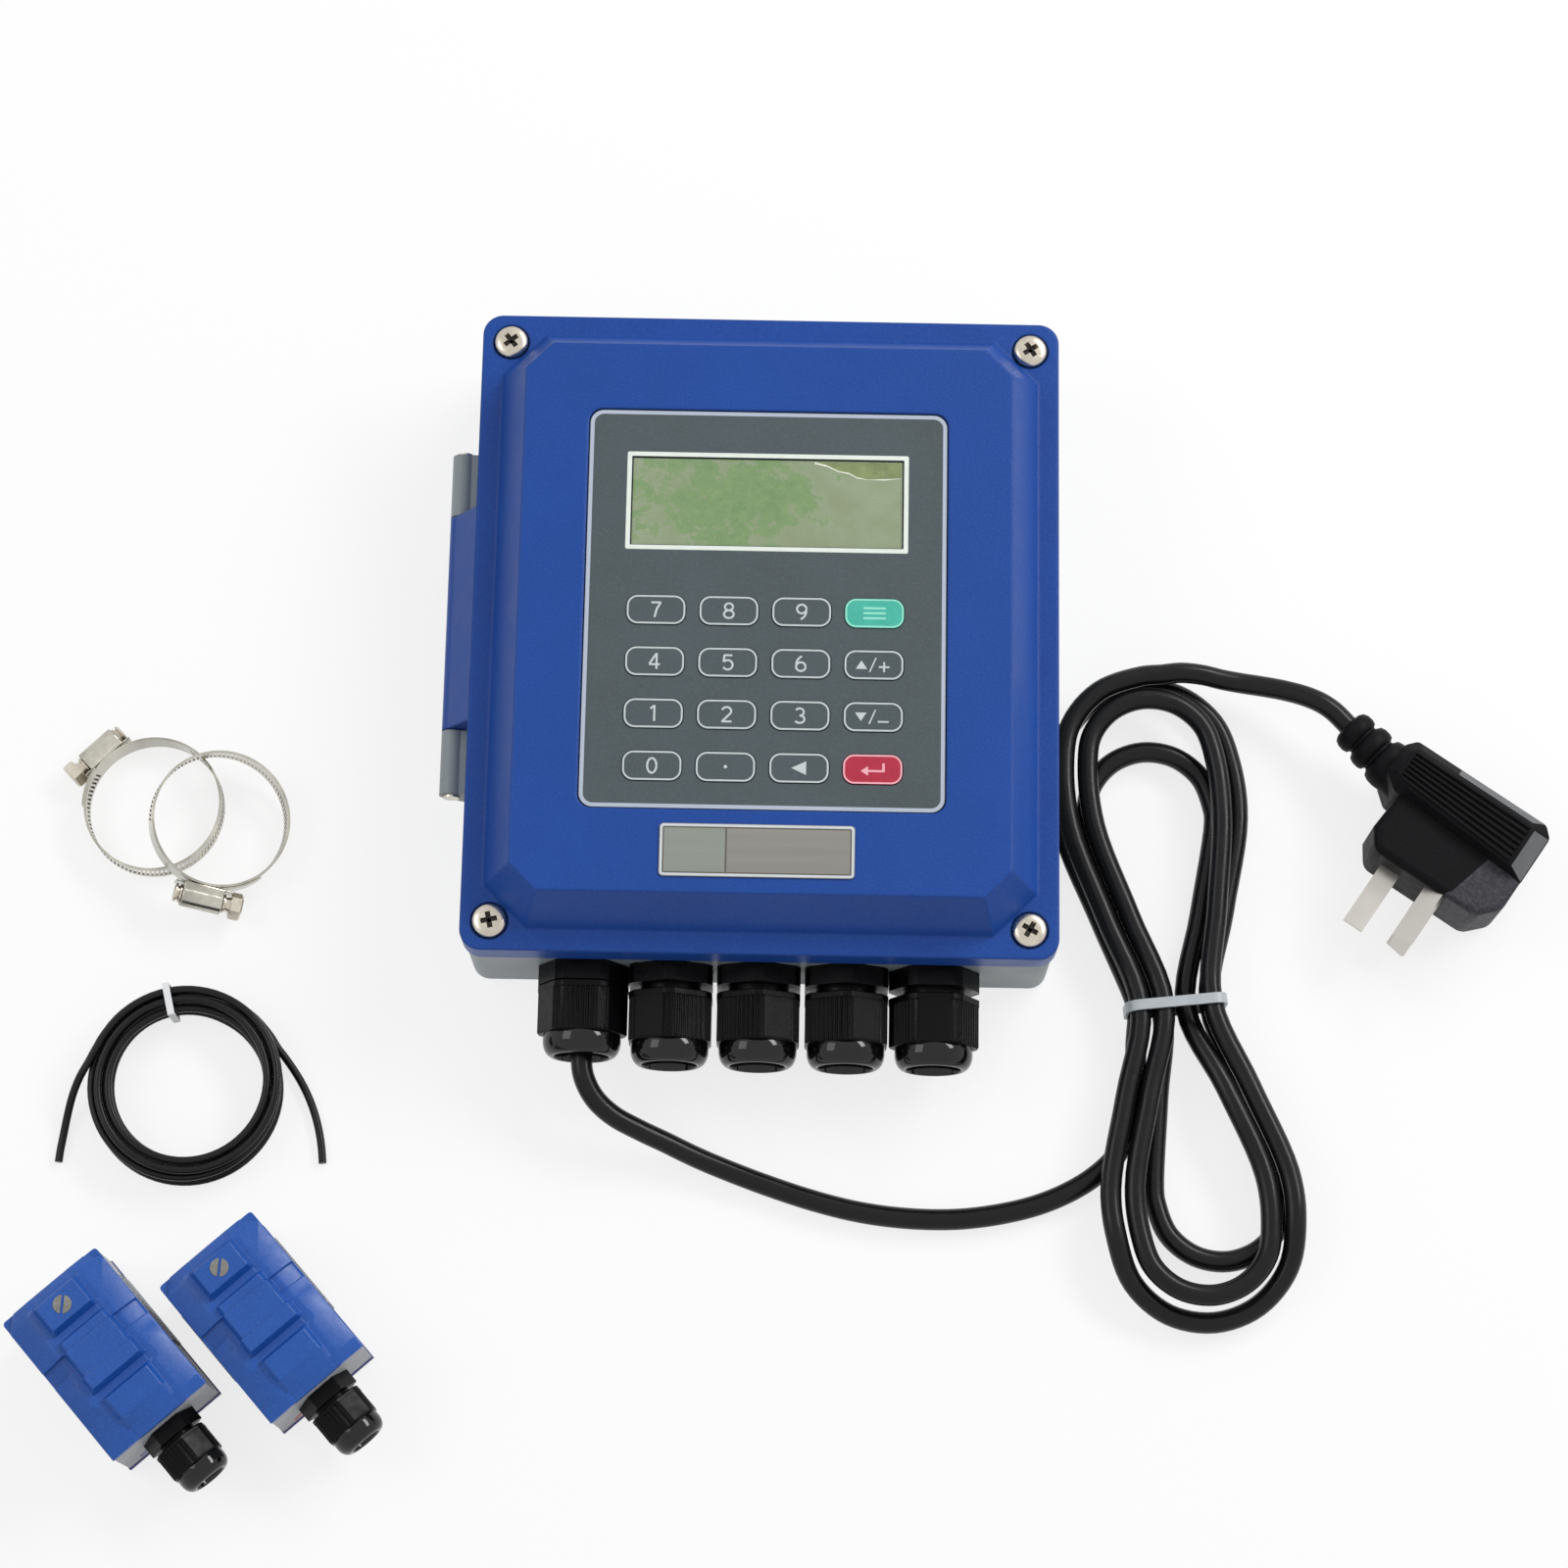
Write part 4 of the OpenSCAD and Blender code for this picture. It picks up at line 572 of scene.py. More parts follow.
LAST_STEPS = RUN_STEPS + ARC_STEPS // 2
first = half_point(HALF_LOOPS[0], 0)
top = half_point(HALF_LOOPS[-1], LAST_STEPS)
hank_start = Vector((0.6, CORD_D / 2, 0))
hank_out = Vector((CORD_D, 0, 0))
hank_local = [first - 3 * hank_start, first - hank_start]
hank_local += [half_point(h, k) for h in HALF_LOOPS[:-1] for k in range(HALF_STEPS)]
hank_local += [half_point(HALF_LOOPS[-1], k) for k in range(LAST_STEPS + 1)]
hank_local += [top + hank_out, top + 2 * hank_out]
mains_points = [Vector(p) for p in LEAD_ROUTE] + [hank_place(p) for p in hank_local]
mains_points += [Vector(p) for p in TAIL_ROUTE] + [boot_start - CORD_D * boot_dir, boot_start]


def between(t, a, ta, b, tb):
    """Point at t on the line that passes a at ta and b at tb."""
    return a * ((tb - t) / (tb - ta)) + b * ((t - ta) / (tb - ta))


def smooth_line(points, steps=6):
    """Dense points along a centripetal curve through the route."""
    out = []
    before = points[0] - (points[1] - points[0])
    after = points[-1] + (points[-1] - points[-2])
    ends = [before] + points + [after]
    for p0, p1, p2, p3 in zip(ends, ends[1:], ends[2:], ends[3:]):
        t0, t1 = 0, (p1 - p0).length ** 0.5
        t2 = t1 + (p2 - p1).length ** 0.5
        t3 = t2 + (p3 - p2).length ** 0.5
        for s in range(steps):
            t = t1 + (t2 - t1) * s / steps
            mid = between(t, p1, t1, p2, t2)
            early = between(t, between(t, p0, t0, p1, t1), t0, mid, t2)
            late = between(t, mid, t1, between(t, p2, t2, p3, t3), t3)
            out.append(between(t, early, t1, late, t2))
    return out + [points[-1]]


def cord_curve(name, points, radius, replaces):
    """Round cord on one open spline."""
    data = bpy.data.curves.new(name, "CURVE")
    data.dimensions = "3D"
    data.bevel_depth = radius * MM
    data.bevel_resolution = 5
    data.use_fill_caps = True
    spline = data.splines.new("POLY")
    spline.points.add(len(points) - 1)
    for q, p in zip(spline.points, points):
        q.co = (p.x * MM, p.y * MM, p.z * MM, 1)
    spline.use_smooth = True
    data.materials.append(looks["cord_pvc"])
    return carry(put(name, data), "case", replaces)


mains_line = smooth_line(mains_points)
mains_cord = cord_curve(
    "mains_cord", mains_line, CORD_R, ["mains_lead", "mains_hank", "mains_tail"])


# Signal cable: a tied coil with two free ends

SIGNAL_D = 2.3
COIL_AT = (-165.3, -129.3)
COIL_R = 27.6
COIL_STEP = 2.8
COIL_LAYER_H = 2.8
COIL_LAYERS = 4
COIL_RINGS = 24
LAYER_RINGS = 50
COIL_START = 34
COIL_LIFT = 0.6
TIE_TURN = 104
SPREAD = (2.2, -0.9, 1.3, 0.2)
RIGHT_END = [
    (-138.4, -119.4, 1.5), (-135.2, -123.6, 1.2), (-132, -128.6, 1.2),
    (-129.2, -134.4, 1.2), (-127.2, -140.4, 1.2), (-126, -146, 1.2), (-125.4, -151, 1.2),
]
LEFT_END = [
    (-193.4, -123.6, 9.4), (-196, -128, 8), (-198.2, -133, 5.6),
    (-199.8, -138.6, 3), (-200.9, -144.4, 1.5), (-201.5, -148.4, 1.2), (-201.8, -152, 1.2),
]


def coil_point(t):
    """Point of the coil after t turns; the layers spread apart away from the tie."""
    layer_turns = LAYER_RINGS / COIL_RINGS
    s = t / layer_turns
    f = s - 2 * floor(s / 2)
    f = f if f < 1 else 2 - f
    r = COIL_R - f * layer_turns * COIL_STEP
    a = (COIL_START + 360 * t) * RAD
    climbs = [ease((t - k * layer_turns) * 2 + 0.5) for k in range(1, COIL_LAYERS)]
    loose = SPREAD[0] * ease(2 * t)
    loose += sum(c * (q - p) for c, p, q in zip(climbs, SPREAD, SPREAD[1:]))
    r += loose * (1 - cos(a - TIE_TURN * RAD)) / 2
    return Vector((COIL_AT[0] + r * cos(a), COIL_AT[1] + r * sin(a),
                   COIL_LIFT + SIGNAL_D / 2 + sum(climbs) * COIL_LAYER_H))


coil_count = COIL_LAYERS * LAYER_RINGS
coil_line = [coil_point(k / COIL_RINGS) for k in range(coil_count + 1)]
a0, a1 = COIL_START * RAD, (COIL_START + 360 * coil_count / COIL_RINGS) * RAD
coil_from = coil_line[0] + SIGNAL_D * Vector((sin(a0), -cos(a0), 0))
coil_to = coil_line[-1] + SIGNAL_D * Vector((-sin(a1), cos(a1), 0))
signal_points = [Vector(p) for p in reversed(RIGHT_END)]
signal_points += [2 * coil_from - coil_line[0], coil_from] + coil_line
signal_points += [coil_to, 2 * coil_to - coil_line[-1]] + [Vector(p) for p in LEFT_END]
signal_line = smooth_line(signal_points, 3)
signal_cord = cord_curve(
    "signal_cord", signal_line, SIGNAL_D / 2, ["signal_coil", "signal_cable_ends"])


# Fluted nut of a cable gland; it stands on z = 0 and its dome points up

RIB_POINTS = 4
FLAT_SHARE = 0.45
CUTS = {"plain": 0, "edge": 0.8, "rib": 0.25}


def fluted_nut(grip, dome, m, half_af, corner_r, flute_len, dome_len, mouth_r, lip_r,
               bore_r, ribs, depth):
    """Collar and ribbed grip with three smooth flats, and the glossy dome."""
    n = ribs * RIB_POINTS
    collar = flute_len * 0.13
    dome_r = half_af * 0.94
    top = flute_len + dome_len
    dome_foot = flute_len + 1.6

    def loop(z, kind):
        """Hexagon with rounded corners, its grooves cut between the flats."""
        points = []
        for k in range(n):
            a = tau * k / n
            r = min(half_af / cos((a % (pi / 3)) - pi / 6), corner_r)
            flat = cos(3 * (a - pi / 6)) > FLAT_SHARE
            groove = kind == "rib" and not flat and k % RIB_POINTS in (0, 1)
            r -= depth * (1 if groove else CUTS[kind])
            points.append((r * cos(a), r * sin(a), z))
        return points

    grip.tube([
        circle(bore_r, 0, n), loop(0, "edge"), loop(0.3, "plain"), loop(collar, "plain"),
        loop(collar + 0.15, "rib"), loop(flute_len - 0.7, "rib"),
        loop(flute_len - 0.2, "edge"), circle(dome_r - 0.1, flute_len, n),
        circle(bore_r, flute_len, n)], m, True)
    shape = [(bore_r + 0.2, flute_len - 0.6), (dome_r - 0.3, flute_len - 0.6),
             (dome_r, flute_len + 0.2)]
    shape += arc(lip_r, dome_foot, dome_r - lip_r, top - dome_foot, 0, 90)
    shape += [(mouth_r + 0.25, top - 0.12), (mouth_r, top - 0.6), (mouth_r, flute_len + 0.3),
              (bore_r + 0.2, flute_len - 0.1)]
    dome.lathe(shape, 64, m, True)


def make_nuts(prefix, node, places, **sizes):
    """Grips and domes of a row of equal nuts."""
    grips, domes = Build(), Build()
    for m in places:
        fluted_nut(grips, domes, m, **sizes)
    grips.make(prefix + "_grips", "nylon", slot="gland_nylon", replaces=[node], smooth=30)
    domes.make(prefix + "_domes", "nylon_dome", slot="gland_nylon", smooth=40)


GLAND_X = [-50.6, -25.3, 0, 25.3, 50.6]
GLAND_Z = 18
NUT_Y = [-101] + 4 * [-103]
NUT_SPINS = [0, 90, 150, 30, 60]
make_nuts("gland_nut", "gland_nuts", [
    shift(x, y, GLAND_Z) @ rotate("X", 90) @ rotate("Z", spin)
    for x, y, spin in zip(GLAND_X, NUT_Y, NUT_SPINS)],
    half_af=12, corner_r=13.1, flute_len=14.5, dome_len=6.2, mouth_r=7.8, lip_r=8.4,
    bore_r=9.2, ribs=54, depth=0.65)

# Transducers: local frames with the gland at +x

SENSORS = {"a": (-180, -210), "b": (-137, -199)}
WAVE_LOOKS = {"a": "mark_blue", "b": "mark_red"}
sensor_frames = {
    key: shift(x, y, 0) @ rotate("Z", SENSOR_TURN) for key, (x, y) in SENSORS.items()}
make_nuts("transducer_nut", "transducer_gland_nuts", [
    f @ shift(30.3, 0, 15) @ rotate("Y", 90) for f in sensor_frames.values()],
    half_af=8, corner_r=8.7, flute_len=8.6, dome_len=5, mouth_r=4.4, lip_r=5,
    bore_r=5.7, ribs=36, depth=0.5)

# Stations of the cap: place, half width, heights of rim, hip and top, ridge's half width

CAP_STATIONS = [
    (-25, 12.5, 30.8, 31.2, 31.2, 6), (-22.8, 14.7, 31.2, 33, 33, 6.6),
    (-22, 15.5, 31.3, 33.3, 33.4, 7.2), (-20.8, 16.5, 31.4, 33.4, 36.4, 7.4),
    (-12.8, 16.5, 31.4, 33.4, 36.4, 7.4), (-11.6, 16.5, 31.4, 33.4, 33.4, 7.9),
    (-9.6, 16.5, 31.4, 33.4, 33.4, 7.9), (-8.8, 16.5, 31.4, 33.4, 35.2, 7.9),
    (-6.2, 16.5, 31.4, 33.4, 35.2, 7.9), (-6, 15.7, 30.2, 32.2, 35.9, 8.4),
    (-1, 15.7, 30.2, 32.2, 35.9, 8.4), (-0.8, 16.5, 31.2, 33.2, 35.9, 8.4),
    (2.6, 16.5, 31.2, 33.2, 35.9, 8.4), (2.8, 16.5, 31.2, 33.2, 36.6, 8.9),
    (7, 16.5, 31.2, 33.2, 36.6, 8.9), (8, 16.5, 31.2, 33.1, 33.1, 9.3),
    (10.2, 16.5, 31.2, 33.1, 33.1, 9.3), (11.2, 16.5, 31.2, 33.1, 35.2, 7.9),
    (18, 16.5, 31.2, 32.9, 34.6, 7.9), (21.6, 16.5, 31.2, 32.2, 32.3, 7.9),
    (25, 16.5, 30.8, 31.1, 31.1, 7.9),
]
CAP_FOOT = 29.6


def transducer_cap(m):
    """Stepped cap: rim plate, rear boss, block, grooves and sloping front ridge."""
    out, rows = Build(), []
    for u, half, rim, hip, high, w in CAP_STATIONS:
        wide = w + 2.4
        side = [(half, CAP_FOOT), (half, rim - 0.3), (half - 0.4, rim), (wide, hip - 0.1),
                (wide - 0.3, hip), (w + 0.3, hip), (w - 0.8, high - 0.15), (w - 1.1, high)]
        rows.append([(u, -v, z) for v, z in side] + [(u, v, z) for v, z in reversed(side)])
    return out.tube(rows, m).prism(rounded(50, 33, 1, steps=3), 29.02, 29.9, m)


def tangents(points):
    """Direction of a path at each of its points."""
    ends = points[:1] + points + points[-1:]
    return [(b - a).normalized() for a, b in zip(ends, ends[2:])]


def stroke(out, points, width, z0, z1, m):
    """Flat ribbon of constant width along plan points."""
    left, right = [], []
    for (x, y), t in zip(points, tangents([Vector(p) for p in points])):
        s = Vector((-t.y, t.x)) * width / 2
        left.append((x + s.x, y + s.y))
        right.append((x - s.x, y - s.y))
    out.prism(left + right[::-1], z0, z1, m)


pads = Build()
for key, f in sensor_frames.items():
    transducer_cap(f).make(
        "transducer_cap_" + key, "sensor_blue", slot="sensor_blue",
        replaces=["transducer_cover_" + key], smooth=24, bevel=(0.25, 2, 28))
    for sign in (-1, 1):
        m = f @ shift(-4, sign * 16.45, 15.5) @ rotate("X", 90)
        pads.prism(rounded(24, 16, 1.2, steps=4), -0.5, 0.5, m)
    mark = Build()
    m = f @ shift(24.66, 0, 0) @ rotate("Z", 90) @ rotate("X", 90)
    for base in (7.4, 5.5):
        wave = [(-11.5 + 0.5 * k, base + sin(pi * k / 9 - 0.9)) for k in range(10)]
        stroke(mark, wave, 0.9, -0.02, 0.12, m)
    mark.make("wave_mark_" + key, WAVE_LOOKS[key], smooth=0)
pads.make("transducer_pads", "grip_pad", slot="sensor_grey", smooth=30)

# Cover screws: pan heads with a cross recess over a threaded shank, and painted shade in each
# recess

SCREW_X, SCREW_Y = 76.6, 87.6
SCREW_SPINS = [12, 40, 60, 33]
THREAD_PITCH = 0.8


def carved(body, tool):
    """One shape with another cut out of it."""
    a, b = (put(name, mesh(name, shape.verts, shape.faces, 1, CARVE_MERGE))
            for name, shape in (("carve_body", body), ("carve_tool", tool)))
    mod = a.modifiers.new("cut", "BOOLEAN")
    mod.operation = "DIFFERENCE"
    mod.solver = "EXACT"
    mod.object = b
    deps = bpy.context.evaluated_depsgraph_get()
    me = a.evaluated_get(deps).to_mesh()
    out = Build().add([v.co for v in me.vertices], [list(q.vertices) for q in me.polygons])
    a.evaluated_get(deps).to_mesh_clear()
    for o in (a, b):
        me = o.data
        bpy.data.objects.remove(o)
        bpy.data.meshes.remove(me)
    return out


profile = [(1.7, 27), (2.1, 27.5)]
for k in range(9):
    z = 27.8 + THREAD_PITCH * k
    profile += [(2.5, z), (2.5, z + 0.12), (2.05, z + 0.4)]
profile += [
    (2.05, 35), (2.45, 35.4), (2.45, 41.4), (2.5, 41.5), (4.85, 41.5), (5, 41.65),
    (5, 43), (4.86, 43.6), (4.5, 44.15), (3.9, 44.5), (3, 44.72), (1.8, 44.8)]
screw = Build().lathe(profile, 48)
for low, high in (((1.3, 0.5), (2.7, 0.82)), ((0.5, 1.3), (0.82, 2.7))):
    tool = Build().prism(plan_box(*low), 42.6, 45.4, top=plan_box(*high))
    screw = carved(screw, tool)
screws, screw_recess_shade = Build(), Build()
corners = [(x, y) for x in (-SCREW_X, SCREW_X) for y in (-SCREW_Y, SCREW_Y)]
for (x, y), spin in zip(corners, SCREW_SPINS):
    m = shift(x, y, 0) @ rotate("Z", spin)
    screws.add(screw.verts, screw.faces, m)
    # Dark bars at the bottom of each cross recess: painted shade of the recess.
    for turn in (0, 90):
        screw_recess_shade.block(-1.8, 1.8, -0.55, 0.55, 43.1, 43.5, m @ rotate("Z", turn))
screws.make("cover_screws_detailed", "nickel", "cover", slot="steel",
            replaces=["cover_screws"], smooth=34)
screw_recess_shade.make("cover_screw_recess_shade", "recess_painted_shade", "cover", smooth=0)

# Front panel print: border, display frame, key outlines and symbols

PANEL_TOP = 57.5
PANEL_Y = 2
DISPLAY_Y = 34
KEY_TOP = 57.8
KEY_PITCH_X, KEY_PITCH_Y = 20.8, 15.4
TOP_KEYS_Y = 1
SINK = 0.02
RISE = 0.05
DIGIT_LINE = 0.58


def flat_ring(w, h, r, line, cx, cy, z, rise=RISE, steps=8):
    """Printed line of constant width round a rectangle."""
    outer = rounded(w, h, r, cx, cy, steps)
    inner = rounded(w - 2 * line, h - 2 * line, max(0.1, r - line), cx, cy, steps)
    return Build().ring(outer, inner, z - SINK, z + rise)


flat_ring(103.2, 118.8, 3.9, 1.15, 0, PANEL_Y, PANEL_TOP, 0.04).make(
    "panel_border", "border_print", "cover", slot="overlay_film", smooth=0)
flat_ring(81.2, 29.6, 0.5, 1.3, 0, DISPLAY_Y, PANEL_TOP, steps=3).make(
    "display_frame_print", "frame_print", "cover", slot="overlay_film", smooth=0)

KEYS = "7 8 9 menu 4 5 6 up 1 2 3 down 0 point left enter".split()
KEY_LOOKS = {"menu": "key_print_green", "enter": "key_print_red"}
DIGITS = {
    "0": [arc(0, 0, 1.3, 2.15, 0, 359, 24)],
    "1": [[(-0.85, 1.3), (0.3, 2.2)], [(0.3, 2.35), (0.3, -2.35)]],
    "2": [arc(0, 0.95, 1.3, 1.2, 165, -30) + [(-1.25, -2.1)],
          [(-1.45, -2.1), (1.45, -2.1)]],
    "3": [arc(-0.1, 1.05, 1.2, 1.1, 150, -90), arc(-0.1, -1.05, 1.4, 1.1, 90, -150)],
    "4": [[(0.55, -2.35), (0.55, 2.35)], [(0.45, 2.2), (-1.5, -0.8)],
          [(-1.6, -0.95), (1.5, -0.95)]],
    "5": [[(1.25, 2.1), (-1.05, 2.1)], [(-0.95, 2.2), (-1.2, 0.1)],
          arc(0, -0.75, 1.4, 1.4, 140, -150, 16)],
    "6": [arc(0, -0.9, 1.35, 1.3, 0, 359, 20), arc(1, -0.6, 2.35, 2.9, 108, 172)],
    "7": [[(-1.4, 2.1), (1.45, 2.1)], [(1.3, 2.1), (0.2, 0.2), (-0.4, -2.3)]],
    "8": [arc(0, 1.15, 1.15, 1.05, 0, 359, 20), arc(0, -1.05, 1.4, 1.15, 0, 359, 20)],
    "9": [arc(0, 0.9, 1.35, 1.3, 0, 359, 20), arc(-1, 0.6, 2.35, 2.9, 288, 352)],
}
SIGNS = {
    "point": [rounded(1, 1, 0.49, steps=4)],
    "left": [[(-2.2, 0), (2, -2), (2, 2)]],
    "up": [[(-5.2, -1.25), (-1.9, -1.25), (-3.55, 1.25)],
           [(1.4, -0.86), (2.64, -0.86), (2.64, -2.1), (3.16, -2.1), (3.16, -0.86),
            (4.4, -0.86), (4.4, -0.34), (3.16, -0.34), (3.16, 0.9), (2.64, 0.9),
            (2.64, -0.34), (1.4, -0.34)]],
    "down": [[(-5.2, 1.25), (-1.9, 1.25), (-3.55, -1.25)]],
    "enter": [[(3.4, 1.8), (2.7, 1.8), (2.7, -0.2), (-1.3, -0.2), (-1.3, 0.9),
               (-3.4, -0.5), (-1.3, -1.9), (-1.3, -0.8), (3.4, -0.8)]],
}
SLASH = (0.4, [(-1.2, -2.1), (0.6, 2.1)])
STROKES = {
    "up": [SLASH], "down": [SLASH, (0.5, [(1.3, -1.4), (4.4, -1.4)])],
    "menu": [(0.6, [(-3.2, y), (3.2, y)]) for y in (-1.5, 0, 1.5)],
}


def symbol(out, name, m):
    """Plain key symbols and digits; crossing strokes of a digit differ in height."""
    for i, points in enumerate(DIGITS.get(name, [])):
        stroke(out, points, DIGIT_LINE, -SINK, RISE + 0.01 * i, m)
    for outline in SIGNS.get(name, []):
        out.prism(outline, -SINK, RISE, m)
    for width, points in STROKES.get(name, []):
        stroke(out, points, width, -SINK, RISE, m)
    return out


for i, name in enumerate(KEYS):
    x, y = (i % 4 - 1.5) * KEY_PITCH_X, TOP_KEYS_Y - (i // 4) * KEY_PITCH_Y
    outline = flat_ring(16.7, 8.5, 3.15, 0.5, x, y, KEY_TOP)
    symbol(outline, name, shift(x, y, KEY_TOP)).make(
        "key_print_" + name, KEY_LOOKS.get(name, "print_white"), "key_" + name, smooth=0)

# Lifting film over the display: a painted highlight along its torn edge and a dull flap above
# it

GLASS_TOP = 56.9
tear = [(13.4, 46.4), (16.8, 45.5), (20.4, 44), (23.4, 43.3), (25.6, 42.1), (28.8, 41.6),
        (33.8, 41.6), (38.5, 42.1)]
Build().prism(tear + [(38.5, 46.8), (14.6, 46.8)], GLASS_TOP, GLASS_TOP + 0.06).make(
    "display_film_flap", "film_dull", "cover", smooth=0)
upper = [(x, y + 0.28 - 0.025 * i + 0.15 * sin(2.3 * i)) for i, (x, y) in enumerate(tear)]
lower = [(x, y - 0.24 + 0.02 * i - 0.08 * sin(3.1 * i + 1)) for i, (x, y) in enumerate(tear)]
Build().prism(upper + lower[::-1], GLASS_TOP, GLASS_TOP + 0.15).make(
    "display_film_edge_highlight", "film_edge_painted_highlight", "cover", smooth=0)

# Label plate: printed outline and divider, left blank

PLATE = (-1, -69.65, 58.5)
x, y, z = PLATE
flat_ring(54.6, 14.9, 1, 0.75, *PLATE, 0.03, 4).make(
    "label_border", "plate_line", "cover", slot="plate_metal", smooth=0)
Build().block(x - 26.5, x - 8.9, y - 6.65, y + 6.65, z - SINK, z + 0.015).make(
    "label_cell", "plate_pale", "cover", slot="plate_metal", smooth=0)
flat_ring(53.2, 13.5, 0.5, 0.4, *PLATE, 0.04, 4).block(
    x - 9, x - 8.5, y - 6.5, y + 6.5, z - SINK, z + 0.03).make(
    "label_lines", "label_ink", "cover", smooth=0)

# Plug: pin block, ribbed grip and ringed boot, with painted light on two facets

RIB_COUNT = 7
FACET_LIFT = 0.12
plug_frame = shift(*PLUG_AT, 0) @ rotate("Z", PLUG_TURN)
block = [(7.4, 0.5), (46, 0.5), (49.6, -4), (49.6, -20), (44, -26), (10, -26), (6, -20)]
Build().prism(block, 0, 25.6, plug_frame).make(
    "plug_block", "plug_pvc", slot="plug_pvc", replaces=["plug_body"], bevel=(2.2, 4, 40))
skirt = [(38, -6), (49.9, -6), (49.9, -20), (44.2, -26.05), (33, -26.05)]
Build().prism(skirt, 1.5, 25.65, plug_frame).make(
    "plug_corner", "plug_skirt", slot="plug_pvc", bevel=(1.6, 3, 40))
low = [(0.2, -4), (5, -8), (50, -10.5), (50, 5.6), (47, 8.6), (3, 8.6), (0.2, 5.4)]
high = [(3.2, -3.8), (5.6, -5.8), (44.6, -8.8), (44.6, 4.2), (43.4, 5.4), (5, 5.4),
        (3.2, 3.8)]
Build().prism(low, 4.2, 25.4, plug_frame).prism(low, 25.4, 29.4, plug_frame, high).make(
    "plug_grip", "plug_pvc", slot="plug_pvc", bevel=(0.7, 2, 20))
# Thin light grey skins on the plug's sloping end facet and back bevel: painted light.
lit_facet_skins = Build()
for corners in (
        [(49.6, -10.1, 25.7), (49.6, 5.1, 25.7), (44.9, 4, 29.18), (44.9, -8.6, 29.18)],
        [(46.4, 8.3, 25.75), (18, 8.3, 25.75), (18, 5.7, 29), (43.3, 5.7, 29)]):
    sheet = [Vector(q) for q in corners]
    up = (sheet[1] - sheet[0]).cross(sheet[3] - sheet[0]).normalized() * FACET_LIFT
    lit_facet_skins.add([q + up for q in sheet] + [q - up for q in sheet],
               [[0, 1, 2, 3], [7, 6, 5, 4], [0, 4, 5, 1], [1, 5, 6, 2], [2, 6, 7, 3],
                [3, 7, 4, 0]], plug_frame)
lit_facet_skins.make("plug_facet_skins_painted_light", "plug_facet_painted_light", slot="plug_pvc", smooth=0)
ribs = Build()
for k in range(RIB_COUNT):
    share = (k + 0.5) / RIB_COUNT
    v0, v1 = -5.4 + 10.2 * share, -8.4 + 13.2 * share
    low = [(4.2, v0 - 0.6), (43.8, v1 - 0.72), (43.8, v1 + 0.72), (4.2, v0 + 0.6)]
    high = [(4.7, v0 - 0.26), (43.3, v1 - 0.36), (43.3, v1 + 0.36), (4.7, v0 + 0.26)]
    ribs.prism(low, 29.2, 30.1, plug_frame, high)
ribs.make("plug_grip_ribs", "plug_pvc", slot="plug_pvc", smooth=50)
boot_profile = [
    (3.15, -0.4), (4.4, -0.2), (5.6, 0.5), (6.2, 1.8), (6.3, 3.6), (5.9, 4.9),
    (5, 5.4), (4.9, 6), (5.4, 6.4), (6.4, 7), (6.9, 8.4), (6.9, 10.2),
    (6.5, 11.3), (5.5, 11.8), (5.4, 12.4), (6, 12.9), (7, 13.5), (7.5, 15),
    (7.6, 17), (7.2, 19.6), (7.2, 24)]
m = shift(*boot_start) @ rotate("Z", PLUG_TURN + BOOT_TURN) @ rotate("Y", 90)
Build().lathe(boot_profile, 40, m).make(
    "plug_boot", "plug_pvc", slot="plug_pvc", smooth=50)

# Band clamps: slotted bands, saddle housings and worm screws

CLAMP_R = 19.6
CLAMP_T = 0.7
BAND_W = 8
BAND_CELLS = 96
BAND_SLOTS = 72
SLOT_LEAN = 1.5
CLAMP_TILT = degrees(asin((BAND_W + 0.73) / (20.3 + hypot(19.2, 5) / 2)))
HOUSING_TURNS = [135, 95]
WORM_PITCH = 1.3
clamp_frames = [
    shift(-180, -46, 0),
    shift(-160.8, -51, 20.3 * sin(CLAMP_TILT * RAD))
    @ rotate("Z", 165.4) @ rotate("Y", -CLAMP_TILT)]


def slotted_band(out, m, start):
    """Closed band with slanted slots along part of its length."""
    pitch = 360 / BAND_CELLS
    cells = []
    for k in range(BAND_CELLS):
        a = start + k * pitch
        cells += [(a, k < BAND_SLOTS), (a + pitch * 0.46, False), (a + pitch * 0.73, False)]
    n = len(cells)
    edges = [(0, 0), (1.5, -SLOT_LEAN), (6.5, SLOT_LEAN), (BAND_W, 0)]
    verts = [(r * cos((a + lean) * RAD), r * sin((a + lean) * RAD), z)
             for r in (CLAMP_R, CLAMP_R + CLAMP_T) for z, lean in edges for a, _ in cells]
    faces = []
    layer = len(edges) * n
    for i, (_, open_slot) in enumerate(cells):
        p = (i + 1) % n
        for j in range(3):
            quad = [j * n + i, j * n + p, (j + 1) * n + p, (j + 1) * n + i]
            if open_slot and j == 1:
                faces += [[u, v, v + layer, u + layer]
                          for u, v in zip(quad, quad[1:] + quad[:1])]
            else:
                faces += [quad[::-1], [q + layer for q in quad]]
        faces.append([i, p, p + layer, i + layer])
        faces.append([3 * n + i, 3 * n + i + layer, 3 * n + p + layer, 3 * n + p])
    out.add(verts, faces, m)


